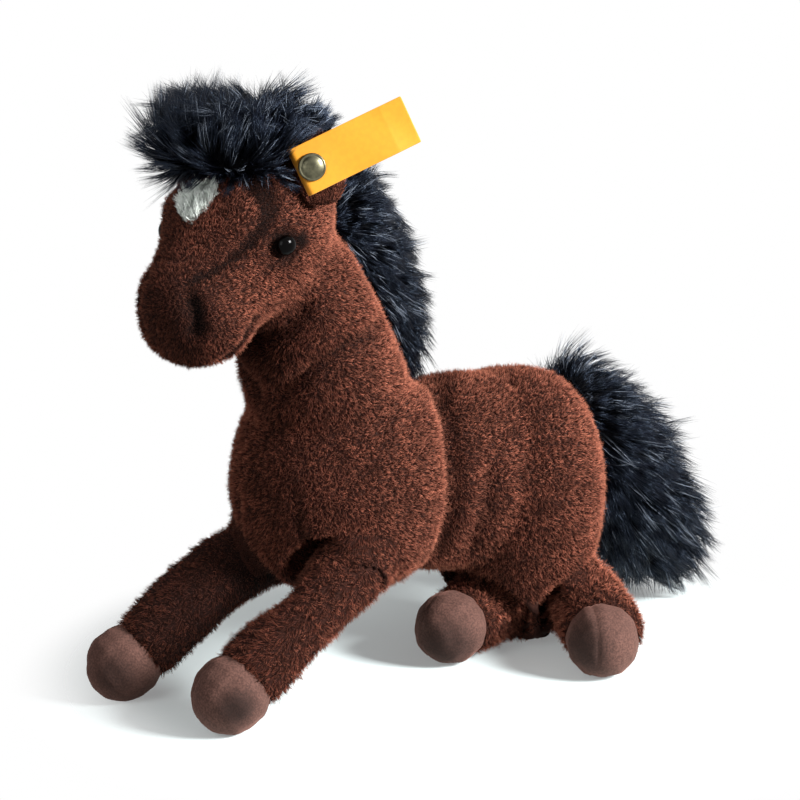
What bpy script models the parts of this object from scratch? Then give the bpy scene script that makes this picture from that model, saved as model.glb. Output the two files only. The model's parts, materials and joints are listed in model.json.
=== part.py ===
"""A plush foal lying down with its forelegs stretched out, about 25 cm long.

Blender 4.5 script, in metres, +Z up. The foal faces -X and its left flank faces -Y. Its
chest and head are turned a little to its left. Every plush surface is drawn at the tips
of its pile, and the floor is z = 0.
"""

import math

import bmesh
import bpy
from mathutils import Matrix, Vector
from mathutils.bvhtree import BVHTree

# Cloth and clearances
GAP = 0.0003
PLUSH = 0.0023
VELOUR = 0.0013
FLAT = 0.0005
OVERRUN = 0.004

# Trunk and neck
CHEST_AT = 0.042
CHEST_LENGTH = 0.077
CHEST_WIDTH = 0.068
CHEST_HEIGHT = 0.074
CHEST_CLEARANCE = 0.028
CHEST_TURN_DEG = 20
BARREL_LENGTH = 0.080
BARREL_WIDTH = 0.056
BARREL_HEIGHT = 0.066
BARREL_CLEARANCE = 0.029
HAUNCH_AT = 0.0265
HAUNCH_LENGTH = 0.055
HAUNCH_WIDTH = 0.066
HAUNCH_HEIGHT = 0.0973
HAUNCH_SINK = 0.0028
NECK_DEPTH = 0.054
NECK_WIDTH = 0.050
NECK_START_HEIGHT = 0.070
NECK_RISE = 0.080
NECK_SET_BACK = 0.006
NECK_REACH = 0.0425
BELLY_GUSSET_WIDTH = 0.022
BELLY_GUSSET_HEIGHT = 0.060

# Head
HEAD_REACH = 0.0455
HEAD_CENTRE_HEIGHT = 0.1515
HEAD_LENGTH = 0.064
HEAD_DROP = 0.040
HEAD_WIDTH = 0.051
HEAD_HEIGHT = 0.055
HEAD_GUSSET_WIDTH = 0.036
BLAZE_WIDTH = 0.010
BLAZE_LENGTH = 0.014
EYE_DIAMETER = 0.0062
EYE_HEIGHT = 0.0022
EYE_RIM = 0.0009
EYE_SHANK_DIAMETER = 0.0022
EYE_SHANK_LENGTH = 0.0070
WASHER_DIAMETER = 0.0080
WASHER_THICKNESS = 0.0008
WASHER_RELIEF = 0.0018

# Ears, rivet and tag
EAR_HEIGHT = 0.024
EAR_WIDTH = 0.017
EAR_THICKNESS = 0.0046
EAR_SPREAD = 0.042
EAR_FACING_DEG = 45
EAR_TILT_DEG = 8
EAR_FOLD_DEG = 25
EAR_CLEARANCE = 0.0015
EAR_BACK_DEG = 4
RIVET_DIAMETER = 0.0082
RIVET_HEIGHT = 0.0013
RIVET_SHANK_DIAMETER = 0.0024
RIVET_WASHER_DIAMETER = 0.0056
TAG_LENGTH = 0.0315
TAG_WIDTH = 0.0148
TAG_TAIL = 0.0065
TAG_THICKNESS = 0.0006
TAG_TILT_DEG = 24

# Long pile
FORELOCK_LENGTH = 0.053
FORELOCK_WIDTH = 0.058
FORELOCK_HEIGHT = 0.028
MANE_LENGTH = 0.086
MANE_WIDTH = 0.032
MANE_DEPTH = 0.046
TAIL_WIDTH = 0.040
TAIL_DEPTH = 0.044
TAIL_REACH = 0.063
TAIL_ROOT_HEIGHT = 0.087

# Legs
LEG_DIAMETER = 0.0265
FORELEG_LENGTH = 0.0555
HINDLEG_LENGTH = 0.040
FORE_ROOT_HEIGHT = 0.043
FORE_ROOT_SPREAD = 0.036
HIND_ROOT_HEIGHT = 0.0145
HOOF_DIAMETER = 0.0245
HOOF_LENGTH = 0.0255
FORELEG_SWING_DEG = 15
HINDLEG_SWING_DEG = 10

# Stations of each soft form, as shares: place along it, then its two half sizes
CHEST_SHARES = (
    (0.00, 0.28, 0.30),
    (0.28, 0.52, 0.51),
    (0.74, 0.53, 0.52),
    (1.00, 0.28, 0.30),
)
BARREL_SHARES = (
    (-0.50, 0.34, 0.34),
    (-0.16, 0.52, 0.51),
    (0.16, 0.52, 0.51),
    (0.50, 0.34, 0.34),
)
HAUNCH_SHARES = (
    (0.00, 0.20, 0.18),
    (0.18, 0.42, 0.38),
    (0.50, 0.54, 0.54),
    (0.82, 0.50, 0.48),
    (1.00, 0.24, 0.22),
)
NECK_SHARES = (
    (0.00, 0.54, 0.52),
    (0.36, 0.50, 0.50),
    (0.70, 0.44, 0.48),
    (1.00, 0.34, 0.36),
)
# Place along the head, its drop, then half width and half height
HEAD_SHARES = (
    (-0.44, -0.36, 0.22, 0.24),
    (-0.22, -0.20, 0.42, 0.44),
    (0.06, 0.02, 0.54, 0.50),
    (0.30, 0.33, 0.34, 0.35),
    (0.49, 0.55, 0.35, 0.34),
    (0.64, 0.66, 0.22, 0.23),
)
HEAD_GUSSET_SHARES = ((-0.60, 0.40), (-0.10, 0.50), (0.22, 0.30), (0.45, 0.18), (0.95, 0.14))
BLAZE_SHARES = (
    (0.50, 0.10),
    (0.25, 0.50),
    (-0.30, 0.46),
    (-0.50, -0.10),
    (-0.25, -0.50),
    (0.30, -0.46),
)
BLAZE_PLACE_SHARE = 0.25
EYE_AHEAD_SHARE = 0.47
EYE_UP_SHARE = 0.10
EAR_SHARES = (
    (0.00, 0.36, 0.40),
    (0.28, 0.52, 0.52),
    (0.60, 0.46, 0.46),
    (0.86, 0.24, 0.32),
    (1.00, 0.08, 0.16),
)
EAR_BACK_SHARE = -0.13
EAR_AHEAD_SHARE = 0.13
EAR_BASE_SHARE = 0.08
EAR_CURL_SHARE = -0.03
RIVET_UP_SHARE = 0.52
RIVET_AHEAD_SHARE = -0.14
TAG_SHARES = ((0.12, 0.36), (0.30, 0.50), (1.00, 0.50))
FORELOCK_SHARES = ((0.00, 0.34, 0.34), (0.30, 0.50, 0.50), (0.68, 0.52, 0.52), (1.00, 0.28, 0.28))
MANE_SHARES = (
    (0.00, 0.30, 0.34),
    (0.20, 0.48, 0.46),
    (0.55, 0.50, 0.50),
    (0.82, 0.44, 0.40),
    (1.00, 0.24, 0.24),
)
TAIL_SHARES = (
    (0.00, 1.00, 0.26, 0.26),
    (0.24, 0.93, 0.40, 0.36),
    (0.46, 0.71, 0.48, 0.44),
    (0.66, 0.45, 0.52, 0.48),
    (0.86, 0.22, 0.48, 0.42),
    (1.16, 0.08, 0.24, 0.18),
)
BELLY_GUSSET_SHARES = ((-0.62, 0.08), (-0.30, 0.50), (0.30, 0.46), (0.62, 0.42))
LEG_SHARES = ((-0.92, 0.0, 0.50), (-0.30, 0.0, 1.04), (0.0, 0.62, 1.04), (0.0, 1.08, 0.88))
FORE_ROOT_SHARE = 0.25
FORE_TOE_DEG = {"left": 2, "right": -12}
HIND_TOE_DEG = {"left": 59, "right": 22}
HIND_ROOT_SHARES = {"left": (0.36, 0.22), "right": (0.08, -0.08)}
TAG_TAIL_SHARE = 0.30
FORELEG_SWEEP_SHARE = 0.24
HINDLEG_SWEEP_SHARE = 0.40
TAG_ROOM_SHARE = 0.90
RIM_SHARE = 0.4
DOME_SHARE = 0.6
ARC_STEPS = 4
TURNED_STEPS = 12
HOOF_RINGS = 7
SHARP_DEG = 40
WELD_SHARE = 0.01
FORELOCK_AHEAD_SHARE = 0.05
FORELOCK_FOOT_SHARE = 0.30
MANE_TOP_SHARE = 0.50
MANE_RISE_SHARE = 0.38
MANE_LEAN_SHARE = 0.47
MANE_BOW_SHARE = 0.08
TAIL_ROOT_SHARE = 0.26
TAIL_DRIFT_SHARE = 0.25
TAIL_HINGE_SHARE = 1.08
BODY_REACH = 0.4

UP = Vector((0, 0, 1))
FORWARD = Vector((-1, 0, 0))
RING = 6
FINE_RING = 8


def left_of(forward):
    return Vector((-forward.y, forward.x, 0))


CHEST_FORWARD = Matrix.Rotation(math.radians(CHEST_TURN_DEG), 3, "Z") @ FORWARD
CHEST_LEFT = left_of(CHEST_FORWARD)
CHEST_FOOT = FORWARD * CHEST_AT
HEAD_CENTRE = CHEST_FOOT + CHEST_FORWARD * HEAD_REACH + UP * HEAD_CENTRE_HEIGHT
HEAD_AXIS = (CHEST_FORWARD * HEAD_LENGTH - UP * HEAD_DROP).normalized()
HEAD_UP = CHEST_LEFT.cross(HEAD_AXIS).normalized() * -1


def clear_scene():
    for obj in list(bpy.data.objects):
        bpy.data.objects.remove(obj)


def new_collection(name):
    collection = bpy.data.collections.new(name)
    bpy.context.scene.collection.children.link(collection)
    return collection


def new_object(name, mesh):
    """A mesh object among the cutters, until finish() makes it a piece."""
    obj = bpy.data.objects.new(name, mesh)
    obj.hide_render = True
    obj.display_type = "WIRE"
    CUTTERS.objects.link(obj)
    return obj


def tidy(mesh):
    """Welds a mesh and turns its faces outwards."""
    bm = bmesh.new()
    bm.from_mesh(mesh)
    bmesh.ops.remove_doubles(bm, verts=bm.verts, dist=GAP * WELD_SHARE)
    bmesh.ops.recalc_face_normals(bm, faces=bm.faces)
    bm.to_mesh(mesh)
    bm.free()


def bake(obj):
    """Replaces an object's mesh by the one its modifiers give."""
    depsgraph = bpy.context.evaluated_depsgraph_get()
    mesh = bpy.data.meshes.new_from_object(obj.evaluated_get(depsgraph))
    obj.modifiers.clear()
    obj.data = mesh
    return obj


def copy_of(obj, name):
    return new_object(name, obj.data.copy())


def swelled(obj, amount=GAP):
    """A copy of a solid, grown outwards by a clearance."""
    twin = copy_of(obj, obj.name + "_room")
    normals = [vertex.normal.copy() for vertex in twin.data.vertices]
    for vertex, normal in zip(twin.data.vertices, normals):
        vertex.co += normal * amount
    return twin


def boolean(obj, others, operation):
    """Cuts or joins closed solids, whose soft skins cross at angles too shallow for EXACT."""
    for other in others:
        modifier = obj.modifiers.new(operation.title(), "BOOLEAN")
        modifier.operation = operation
        modifier.object = other
        modifier.solver = "MANIFOLD"
        bake(obj)
    return obj


def cut(obj, *cutters):
    return boolean(obj, cutters, "DIFFERENCE")


def join(obj, *others):
    return boolean(obj, others, "UNION")


def keep(obj, cutter):
    return boolean(obj, [cutter], "INTERSECT")


def largest_body(obj):
    """Drops the crumbs that a cut can leave."""
    bm = bmesh.new()
    bm.from_mesh(obj.data)
    bodies = []
    waiting = set(bm.verts)
    while waiting:
        stack = [waiting.pop()]
        body = set(stack)
        while stack:
            for edge in stack.pop().link_edges:
                for vertex in edge.verts:
                    if vertex in waiting:
                        waiting.remove(vertex)
                        body.add(vertex)
                        stack.append(vertex)
        bodies.append(body)
    bodies.sort(key=lambda body: sum(face.calc_area() for vertex in body for face in vertex.link_faces))
    crumbs = [vertex for body in bodies[:-1] for vertex in body]
    bmesh.ops.delete(bm, geom=crumbs, context="VERTS")
    bm.to_mesh(obj.data)
    bm.free()
    return obj


def soft_form(name, stations, across, inset=0, ring=RING, levels=2):
    """A stuffed form through stations of (centre, half size across, half size the other way).

    It is a coarse cage under Subdivision Surface. The cage's rings are spread so that the
    smooth surface keeps the half sizes, and inset draws the whole form in.
    """
    spread = 3 / (2 + math.cos(math.tau / ring))
    centres = [station[0] for station in stations]
    last = len(stations) - 1
    bm = bmesh.new()
    rings = []
    for index, (centre, half_across, half_other) in enumerate(stations):
        along = (centres[min(index + 1, last)] - centres[max(index - 1, 0)]).normalized()
        other = along.cross(across).normalized()
        centre = centre + along * inset * ((index == 0) - (index == last))
        points = []
        for step in range(ring):
            angle = math.tau * step / ring
            reach_across = across * math.cos(angle) * (half_across - inset)
            reach_other = other * math.sin(angle) * (half_other - inset)
            points.append(bm.verts.new(centre + (reach_across + reach_other) * spread))
        rings.append(points)
    for low, high in zip(rings, rings[1:]):
        for step in range(ring):
            after = (step + 1) % ring
            bm.faces.new((low[step], low[after], high[after], high[step]))
    bm.faces.new(rings[0])
    bm.faces.new(rings[-1])
    bmesh.ops.recalc_face_normals(bm, faces=bm.faces)
    mesh = bpy.data.meshes.new(name)
    bm.to_mesh(mesh)
    bm.free()
    obj = new_object(name, mesh)
    modifier = obj.modifiers.new("Stuffed", "SUBSURF")
    modifier.levels = levels
    modifier.render_levels = levels
    return split_alike(bake(obj))


def split_alike(obj):
    """Splits every quad the same way, so that a form and its hollow stay parallel."""
    bm = bmesh.new()
    bm.from_mesh(obj.data)
    bmesh.ops.triangulate(bm, faces=bm.faces, quad_method="FIXED")
    bm.to_mesh(obj.data)
    bm.free()
    return obj


def prism(name, outline, matrix, depth):
    """A flat outline given thickness, centred on the matrix's XY plane."""
    curve = bpy.data.curves.new(name, "CURVE")
    curve.dimensions = "2D"
    curve.fill_mode = "BOTH"
    curve.extrude = depth / 2
    spline = curve.splines.new("POLY")
    spline.points.add(len(outline) - 1)
    for point, (x, y) in zip(spline.points, outline):
        point.co = (x, y, 0, 1)
    spline.use_cyclic_u = True
    flat = bpy.data.objects.new(name + "_outline", curve)
    CUTTERS.objects.link(flat)
    mesh = bpy.data.meshes.new_from_object(flat.evaluated_get(bpy.context.evaluated_depsgraph_get()))
    bpy.data.objects.remove(flat)
    mesh.transform(matrix)
    tidy(mesh)
    return new_object(name, mesh)


def turned(name, profile, matrix, steps=TURNED_STEPS):
    """A turned solid: a profile of (radius, height) points, round the matrix's Z axis."""
    bm = bmesh.new()
    points = [bm.verts.new((radius, 0, height)) for radius, height in profile]
    for first, second in zip(points, points[1:]):
        bm.edges.new((first, second))
    if profile[0][0]:
        bm.edges.new((points[-1], points[0]))
    mesh = bpy.data.meshes.new(name)
    bm.to_mesh(mesh)
    bm.free()
    obj = new_object(name, mesh)
    modifier = obj.modifiers.new("Turned", "SCREW")
    modifier.steps = steps
    modifier.render_steps = steps
    modifier.use_merge_vertices = True
    modifier.merge_threshold = GAP * WELD_SHARE
    bake(obj)
    obj.data.transform(matrix)
    tidy(obj.data)
    return obj


def box(name, low, high, matrix=None):
    bm = bmesh.new()
    size = high - low
    scale = Matrix.Diagonal((size.x, size.y, size.z, 1))
    bmesh.ops.create_cube(bm, size=1, matrix=Matrix.Translation((low + high) / 2) @ scale)
    mesh = bpy.data.meshes.new(name)
    bm.to_mesh(mesh)
    bm.free()
    mesh.transform(matrix or Matrix())
    return new_object(name, mesh)


def axes_at(place, x_axis, z_axis):
    """A placing matrix with its X and Z axes along the given directions."""
    z_axis = z_axis.normalized()
    y_axis = z_axis.cross(x_axis).normalized()
    matrix = Matrix((y_axis.cross(z_axis), y_axis, z_axis)).transposed().to_4x4()
    return Matrix.Translation(place) @ matrix


def swung(obj, place, axis, degrees):
    """A copy of a solid, turned about a hinge."""
    twin = copy_of(obj, obj.name + "_swung")
    turn = Matrix.Rotation(math.radians(degrees), 4, axis)
    twin.data.transform(Matrix.Translation(place) @ turn @ Matrix.Translation(-place))
    return twin


def surface_point(obj, start, direction):
    vertices = [vertex.co for vertex in obj.data.vertices]
    faces = [face.vertices for face in obj.data.polygons]
    tree = BVHTree.FromPolygons(vertices, faces)
    place, normal, _, _ = tree.ray_cast(start, direction)
    return place, normal


def material(name, colour, roughness, metallic=0.0):
    result = bpy.data.materials.new(name)
    result.use_nodes = True
    shader = result.node_tree.nodes["Principled BSDF"]
    shader.inputs["Base Color"].default_value = (*colour, 1.0)
    shader.inputs["Roughness"].default_value = roughness
    shader.inputs["Metallic"].default_value = metallic
    result.diffuse_color = (*colour, 1.0)
    return result


def finish(obj, name, surface, hinge=None):
    """Makes a solid a named piece of the foal, carried by its hinge or by the trunk."""
    tidy(obj.data)
    largest_body(obj)
    obj.name = name
    obj.data.name = name
    obj.data.materials.clear()
    obj.data.materials.append(surface)
    obj.data.shade_smooth()
    obj.data.set_sharp_from_angle(angle=math.radians(SHARP_DEG))
    obj.hide_render = False
    obj.display_type = "TEXTURED"
    CUTTERS.objects.unlink(obj)
    PARTS.objects.link(obj)
    obj.parent = hinge or ROOT
    obj.matrix_parent_inverse = obj.parent.matrix_world.inverted()
    return obj


def new_hinge(name, place, axis, parent=None):
    """An empty on a joint, with its Z axis along the joint's axis."""
    empty = bpy.data.objects.new("hinge_" + name, None)
    empty.empty_display_size = HOOF_DIAMETER
    PARTS.objects.link(empty)
    empty.matrix_world = axes_at(place, axis.orthogonal(), axis)
    bpy.context.view_layer.update()
    world = empty.matrix_world.copy()
    empty.parent = parent or ROOT
    empty.matrix_parent_inverse = empty.parent.matrix_world.inverted()
    empty.matrix_world = world
    bpy.context.view_layer.update()
    return empty


def trunk_form(name, inset, levels):
    """The trunk and neck: chest, barrel, haunch and neck, each drawn in by inset."""
    chest_foot = CHEST_FOOT + UP * CHEST_CLEARANCE
    chest = [
        (chest_foot + UP * CHEST_HEIGHT * along, CHEST_WIDTH * across, CHEST_LENGTH * deep)
        for along, deep, across in CHEST_SHARES
    ]
    barrel_centre = UP * (BARREL_CLEARANCE + BARREL_HEIGHT / 2)
    barrel = [
        (barrel_centre - FORWARD * BARREL_LENGTH * along, BARREL_WIDTH * across, BARREL_HEIGHT * deep)
        for along, across, deep in BARREL_SHARES
    ]
    haunch_foot = -FORWARD * HAUNCH_AT - UP * HAUNCH_SINK
    haunch = [
        (haunch_foot + UP * HAUNCH_HEIGHT * along, HAUNCH_WIDTH * across, HAUNCH_LENGTH * deep)
        for along, deep, across in HAUNCH_SHARES
    ]
    neck_start = CHEST_FOOT - CHEST_FORWARD * NECK_SET_BACK + UP * NECK_START_HEIGHT
    neck_way = CHEST_FORWARD * NECK_REACH + UP * NECK_RISE
    neck = [
        (neck_start + neck_way * along, NECK_WIDTH * across, NECK_DEPTH * deep)
        for along, deep, across in NECK_SHARES
    ]
    left = left_of(FORWARD)
    form = soft_form(name, chest, CHEST_LEFT, inset, levels=levels)
    others = [
        soft_form(name + "_barrel", barrel, left, inset, levels=levels),
        soft_form(name + "_haunch", haunch, left, inset, levels=levels),
        soft_form(name + "_neck", neck, CHEST_LEFT, inset, levels=levels),
    ]
    return join(form, *others)


def head_form(name, inset, levels):
    stations = [
        (
            HEAD_CENTRE + CHEST_FORWARD * HEAD_LENGTH * along - UP * HEAD_DROP * drop,
            HEAD_WIDTH * across,
            HEAD_HEIGHT * deep,
        )
        for along, drop, across, deep in HEAD_SHARES
    ]
    return soft_form(name, stations, CHEST_LEFT, inset, levels=levels)


class Leg:
    """One leg: a plush tube from a round root to a velour hoof that rests on the floor."""

    def __init__(self, name, root, heading, length, axis, swing):
        self.name = name
        self.root = root
        drop = root.z - (HOOF_DIAMETER / 2 - FLAT)
        level = math.sqrt(length**2 - drop**2)
        self.hoof = root + heading * level - UP * drop
        self.along = (self.hoof - root).normalized()
        self.across = left_of(heading)
        self.length = length
        self.hinge = new_hinge(name, root, axis)
        self.axis = axis
        self.spread = math.tan(math.radians(swing))
        self.tube = self.tube_form(name + "_tube", 0)

    def tube_form(self, name, inset):
        radius = LEG_DIAMETER / 2
        stations = [
            (self.root + self.along * (radius * start + self.length * share), radius * size, radius * size)
            for start, share, size in LEG_SHARES
        ]
        return soft_form(name, stations, self.across, inset, FINE_RING, 1)

    def hoof_form(self, name, inset):
        bm = bmesh.new()
        bmesh.ops.create_uvsphere(bm, u_segments=TURNED_STEPS, v_segments=HOOF_RINGS, radius=1)
        mesh = bpy.data.meshes.new(name)
        bm.to_mesh(mesh)
        bm.free()
        wide = HOOF_DIAMETER / 2 - inset
        scale = Matrix.Diagonal((wide, wide, HOOF_LENGTH / 2 - inset, 1))
        mesh.transform(axes_at(self.hoof, self.across, self.along) @ scale)
        return new_object(name, mesh)

    def room(self, name, clearance):
        """The space that the tube sweeps as it swings, with a clearance round it."""
        radius = LEG_DIAMETER / 2
        upright = abs(self.axis.z) > abs(self.axis.y)
        sweep_share = HINDLEG_SWEEP_SHARE if upright else FORELEG_SWEEP_SHARE
        stations = []
        for start, share, size in LEG_SHARES:
            distance = radius * start + self.length * share
            swept = abs(distance) * self.spread
            wide = radius * size + clearance + swept
            slack = clearance + swept * sweep_share
            plain = radius * size + slack
            sizes = (wide, plain) if upright else (plain, wide)
            stations.append((self.root + self.along * (distance + slack * (share - 1)), *sizes))
        return soft_form(name, stations, self.across, 0, FINE_RING, 1)

    def make(self, floor):
        hollow = self.tube_form(self.name + "_hollow", PLUSH)
        hoof = self.hoof_form(self.name + "_hoof", 0)
        hoof_hollow = self.hoof_form(self.name + "_hoof_hollow", VELOUR)
        stuffing = self.tube_form(self.name + "_fill", PLUSH + GAP)
        join(stuffing, self.hoof_form(self.name + "_hoof_fill", VELOUR + GAP))
        cover = cut(copy_of(self.tube, self.name + "_cover"), hollow, swelled(hoof), floor)
        cut(hoof, hoof_hollow, hollow, floor)
        end = self.name.split("_")[0]
        side = self.name.split("_")[-1]
        finish(cover, self.name, CURLY, self.hinge)
        finish(hoof, end + "_hoof_" + side, SUEDE, self.hinge)
        finish(stuffing, self.name + "_stuffing", FIBRE, self.hinge)


def make_legs():
    """The four legs, each hinged on the seam at its root."""
    spread = CHEST_LEFT * FORE_ROOT_SPREAD / 2
    fore_root = CHEST_FOOT + CHEST_FORWARD * CHEST_LENGTH * FORE_ROOT_SHARE + UP * FORE_ROOT_HEIGHT
    legs = []
    for side, sign in (("left", 1), ("right", -1)):
        heading = Matrix.Rotation(math.radians(FORE_TOE_DEG[side]), 3, "Z") @ FORWARD
        root = fore_root + spread * sign
        axis = left_of(heading)
        legs.append(Leg("front_leg_" + side, root, heading, FORELEG_LENGTH, axis, FORELEG_SWING_DEG))
    for side in ("left", "right"):
        ahead, aside = HIND_ROOT_SHARES[side]
        root = -FORWARD * (HAUNCH_AT + HAUNCH_LENGTH * ahead) + left_of(FORWARD) * HAUNCH_WIDTH * aside
        root += UP * HIND_ROOT_HEIGHT
        heading = Matrix.Rotation(math.radians(HIND_TOE_DEG[side]), 3, "Z") @ FORWARD
        legs.append(Leg("hind_leg_" + side, root, heading, HINDLEG_LENGTH, UP, HINDLEG_SWING_DEG))
    return legs


def seam_point(distance, aside):
    """A point on the trunk's bent middle seam, ahead of or behind the chest's centre."""
    if distance > 0:
        place = CHEST_FOOT + CHEST_FORWARD * distance + CHEST_LEFT * aside
    else:
        place = CHEST_FOOT + FORWARD * distance + left_of(FORWARD) * aside
    return place.x, place.y


def flank(name, sign):
    """All the room on one side of the bent middle seam, half a gap clear of it."""
    far = BODY_REACH
    near = GAP / 2 * sign
    outline = [seam_point(-far, near), seam_point(0, near), seam_point(far, near)]
    outline += [seam_point(far, far * sign), seam_point(-far, far * sign)]
    return prism(name, outline, Matrix(), 2 * far)


def belly_outline():
    ahead = BELLY_GUSSET_SHARES
    right = [seam_point(CHEST_LENGTH * along, -BELLY_GUSSET_WIDTH * half) for along, half in ahead]
    left = [seam_point(CHEST_LENGTH * along, BELLY_GUSSET_WIDTH * half) for along, half in reversed(ahead)]
    return right + left


def make_trunk(legs, head, floor):
    """The trunk's three plush panels and its stuffing."""
    outer = trunk_form("trunk_outer", 0, 2)
    cut(outer, floor)
    shell = copy_of(outer, "trunk_shell")
    rooms = [leg.room(leg.name + "_room", GAP) for leg in legs]
    cut(shell, trunk_form("trunk_hollow", PLUSH, 1), swelled(head), *rooms)
    gusset_room = prism("belly_room", belly_outline(), Matrix.Translation(UP * BELLY_GUSSET_HEIGHT / 2),
                        BELLY_GUSSET_HEIGHT + OVERRUN)
    for side, sign in (("left", 1), ("right", -1)):
        panel = copy_of(shell, "panel_" + side)
        keep(panel, flank("flank_" + side, sign))
        cut(panel, swelled(gusset_room))
        finish(panel, "body_panel_" + side, PLUSH_BROWN)
    gusset = keep(copy_of(shell, "gusset"), gusset_room)
    finish(gusset, "belly_gusset", PLUSH_BROWN)
    stuffing = trunk_form("trunk_fill", PLUSH + GAP, 1)
    inner_rooms = [leg.room(leg.name + "_inner_room", PLUSH) for leg in legs]
    cut(stuffing, swelled(head, PLUSH), *inner_rooms)
    finish(stuffing, "body_stuffing", FIBRE)
    return outer


def head_sides():
    """Room on each side of the head's middle plane."""
    far = BODY_REACH
    rooms = {}
    for side, sign in (("left", 1), ("right", -1)):
        near = GAP / 2
        low = Vector((-far, near if sign > 0 else -far, -far))
        high = Vector((far, far if sign > 0 else -near, far))
        rooms[side] = box("head_" + side, low, high, head_axes())
    return rooms


def head_axes():
    """The head's own frame: X along the nose, Y to its left, Z out of the forehead."""
    return axes_at(HEAD_CENTRE, HEAD_AXIS, HEAD_UP)


def face_prism(name, outline, along=0, room=0):
    """A prism that stands on the forehead side of the head's axis, at a place along it."""
    matrix = head_axes() @ Matrix.Translation((along, 0, HEAD_HEIGHT / 2 + room))
    return prism(name, outline, matrix, HEAD_HEIGHT)


def make_head(head, eyes):
    """Two side panels, the face gusset with the blaze let into it, and the stuffing."""
    shell = cut(copy_of(head, "head_shell"), head_form("head_hollow", PLUSH, 1))
    for eye in eyes:
        cut(shell, eye.room)
    edges = [(HEAD_LENGTH * along, HEAD_GUSSET_WIDTH * half) for along, half in HEAD_GUSSET_SHARES]
    outline = edges + [(along, -half) for along, half in reversed(edges)]
    gusset_room = face_prism("face_room", outline)
    for side, room in head_sides().items():
        panel = keep(copy_of(shell, "head_panel"), room)
        cut(panel, swelled(gusset_room))
        finish(panel, "head_panel_" + side, PLUSH_BROWN)
    blaze_outline = [(BLAZE_LENGTH * along, BLAZE_WIDTH * aside) for along, aside in BLAZE_SHARES]
    blaze_room = face_prism("blaze_room", blaze_outline, HEAD_LENGTH * BLAZE_PLACE_SHARE)
    gusset = keep(copy_of(shell, "face_gusset"), gusset_room)
    blaze = keep(copy_of(gusset, "blaze"), blaze_room)
    cut(gusset, swelled(blaze_room))
    finish(gusset, "head_gusset", PLUSH_BROWN)
    finish(blaze, "blaze_patch", PLUSH_WHITE)
    stuffing = head_form("head_fill", PLUSH + GAP, 1)
    for eye in eyes:
        cut(stuffing, eye.room, eye.washer_room)
    finish(stuffing, "head_stuffing", FIBRE)


class Eye:
    """A domed eye on a shank, held by a lock washer inside the head."""

    def __init__(self, side, sign, head):
        start = HEAD_CENTRE + HEAD_UP * HEAD_HEIGHT * EYE_UP_SHARE
        towards = CHEST_LEFT * sign + HEAD_AXIS * EYE_AHEAD_SHARE
        self.place, self.out = surface_point(head, start, towards.normalized())
        matrix = axes_at(self.place, UP, self.out)
        radius = EYE_DIAMETER / 2
        shank = EYE_SHANK_DIAMETER / 2
        arc = [math.tau / 4 * step / ARC_STEPS for step in range(ARC_STEPS + 1)]
        dome = [(radius * math.sin(angle), EYE_HEIGHT * math.cos(angle)) for angle in arc]
        stem = [(radius, -EYE_RIM), (shank, -EYE_RIM), (shank, -EYE_SHANK_LENGTH), (0, -EYE_SHANK_LENGTH)]
        self.solid = turned("eye_" + side, dome + stem, matrix)
        self.room = swelled(self.solid)
        bore = shank + GAP
        rim = WASHER_DIAMETER / 2
        back = -(PLUSH + WASHER_RELIEF)
        ring = [(rim, back), (rim, back - WASHER_THICKNESS), (bore, back - WASHER_THICKNESS), (bore, back)]
        self.washer = turned("eye_washer_" + side, ring, matrix)
        disc = [(0, back + GAP), (rim + GAP, back + GAP), (rim + GAP, back - WASHER_THICKNESS - GAP),
                (0, back - WASHER_THICKNESS - GAP)]
        self.washer_room = turned("eye_washer_room_" + side, disc, matrix)
        self.side = side

    def make(self):
        finish(self.solid, "eye_" + self.side, BLACK)
        finish(self.washer, "eye_washer_" + self.side, GREY)


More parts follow.
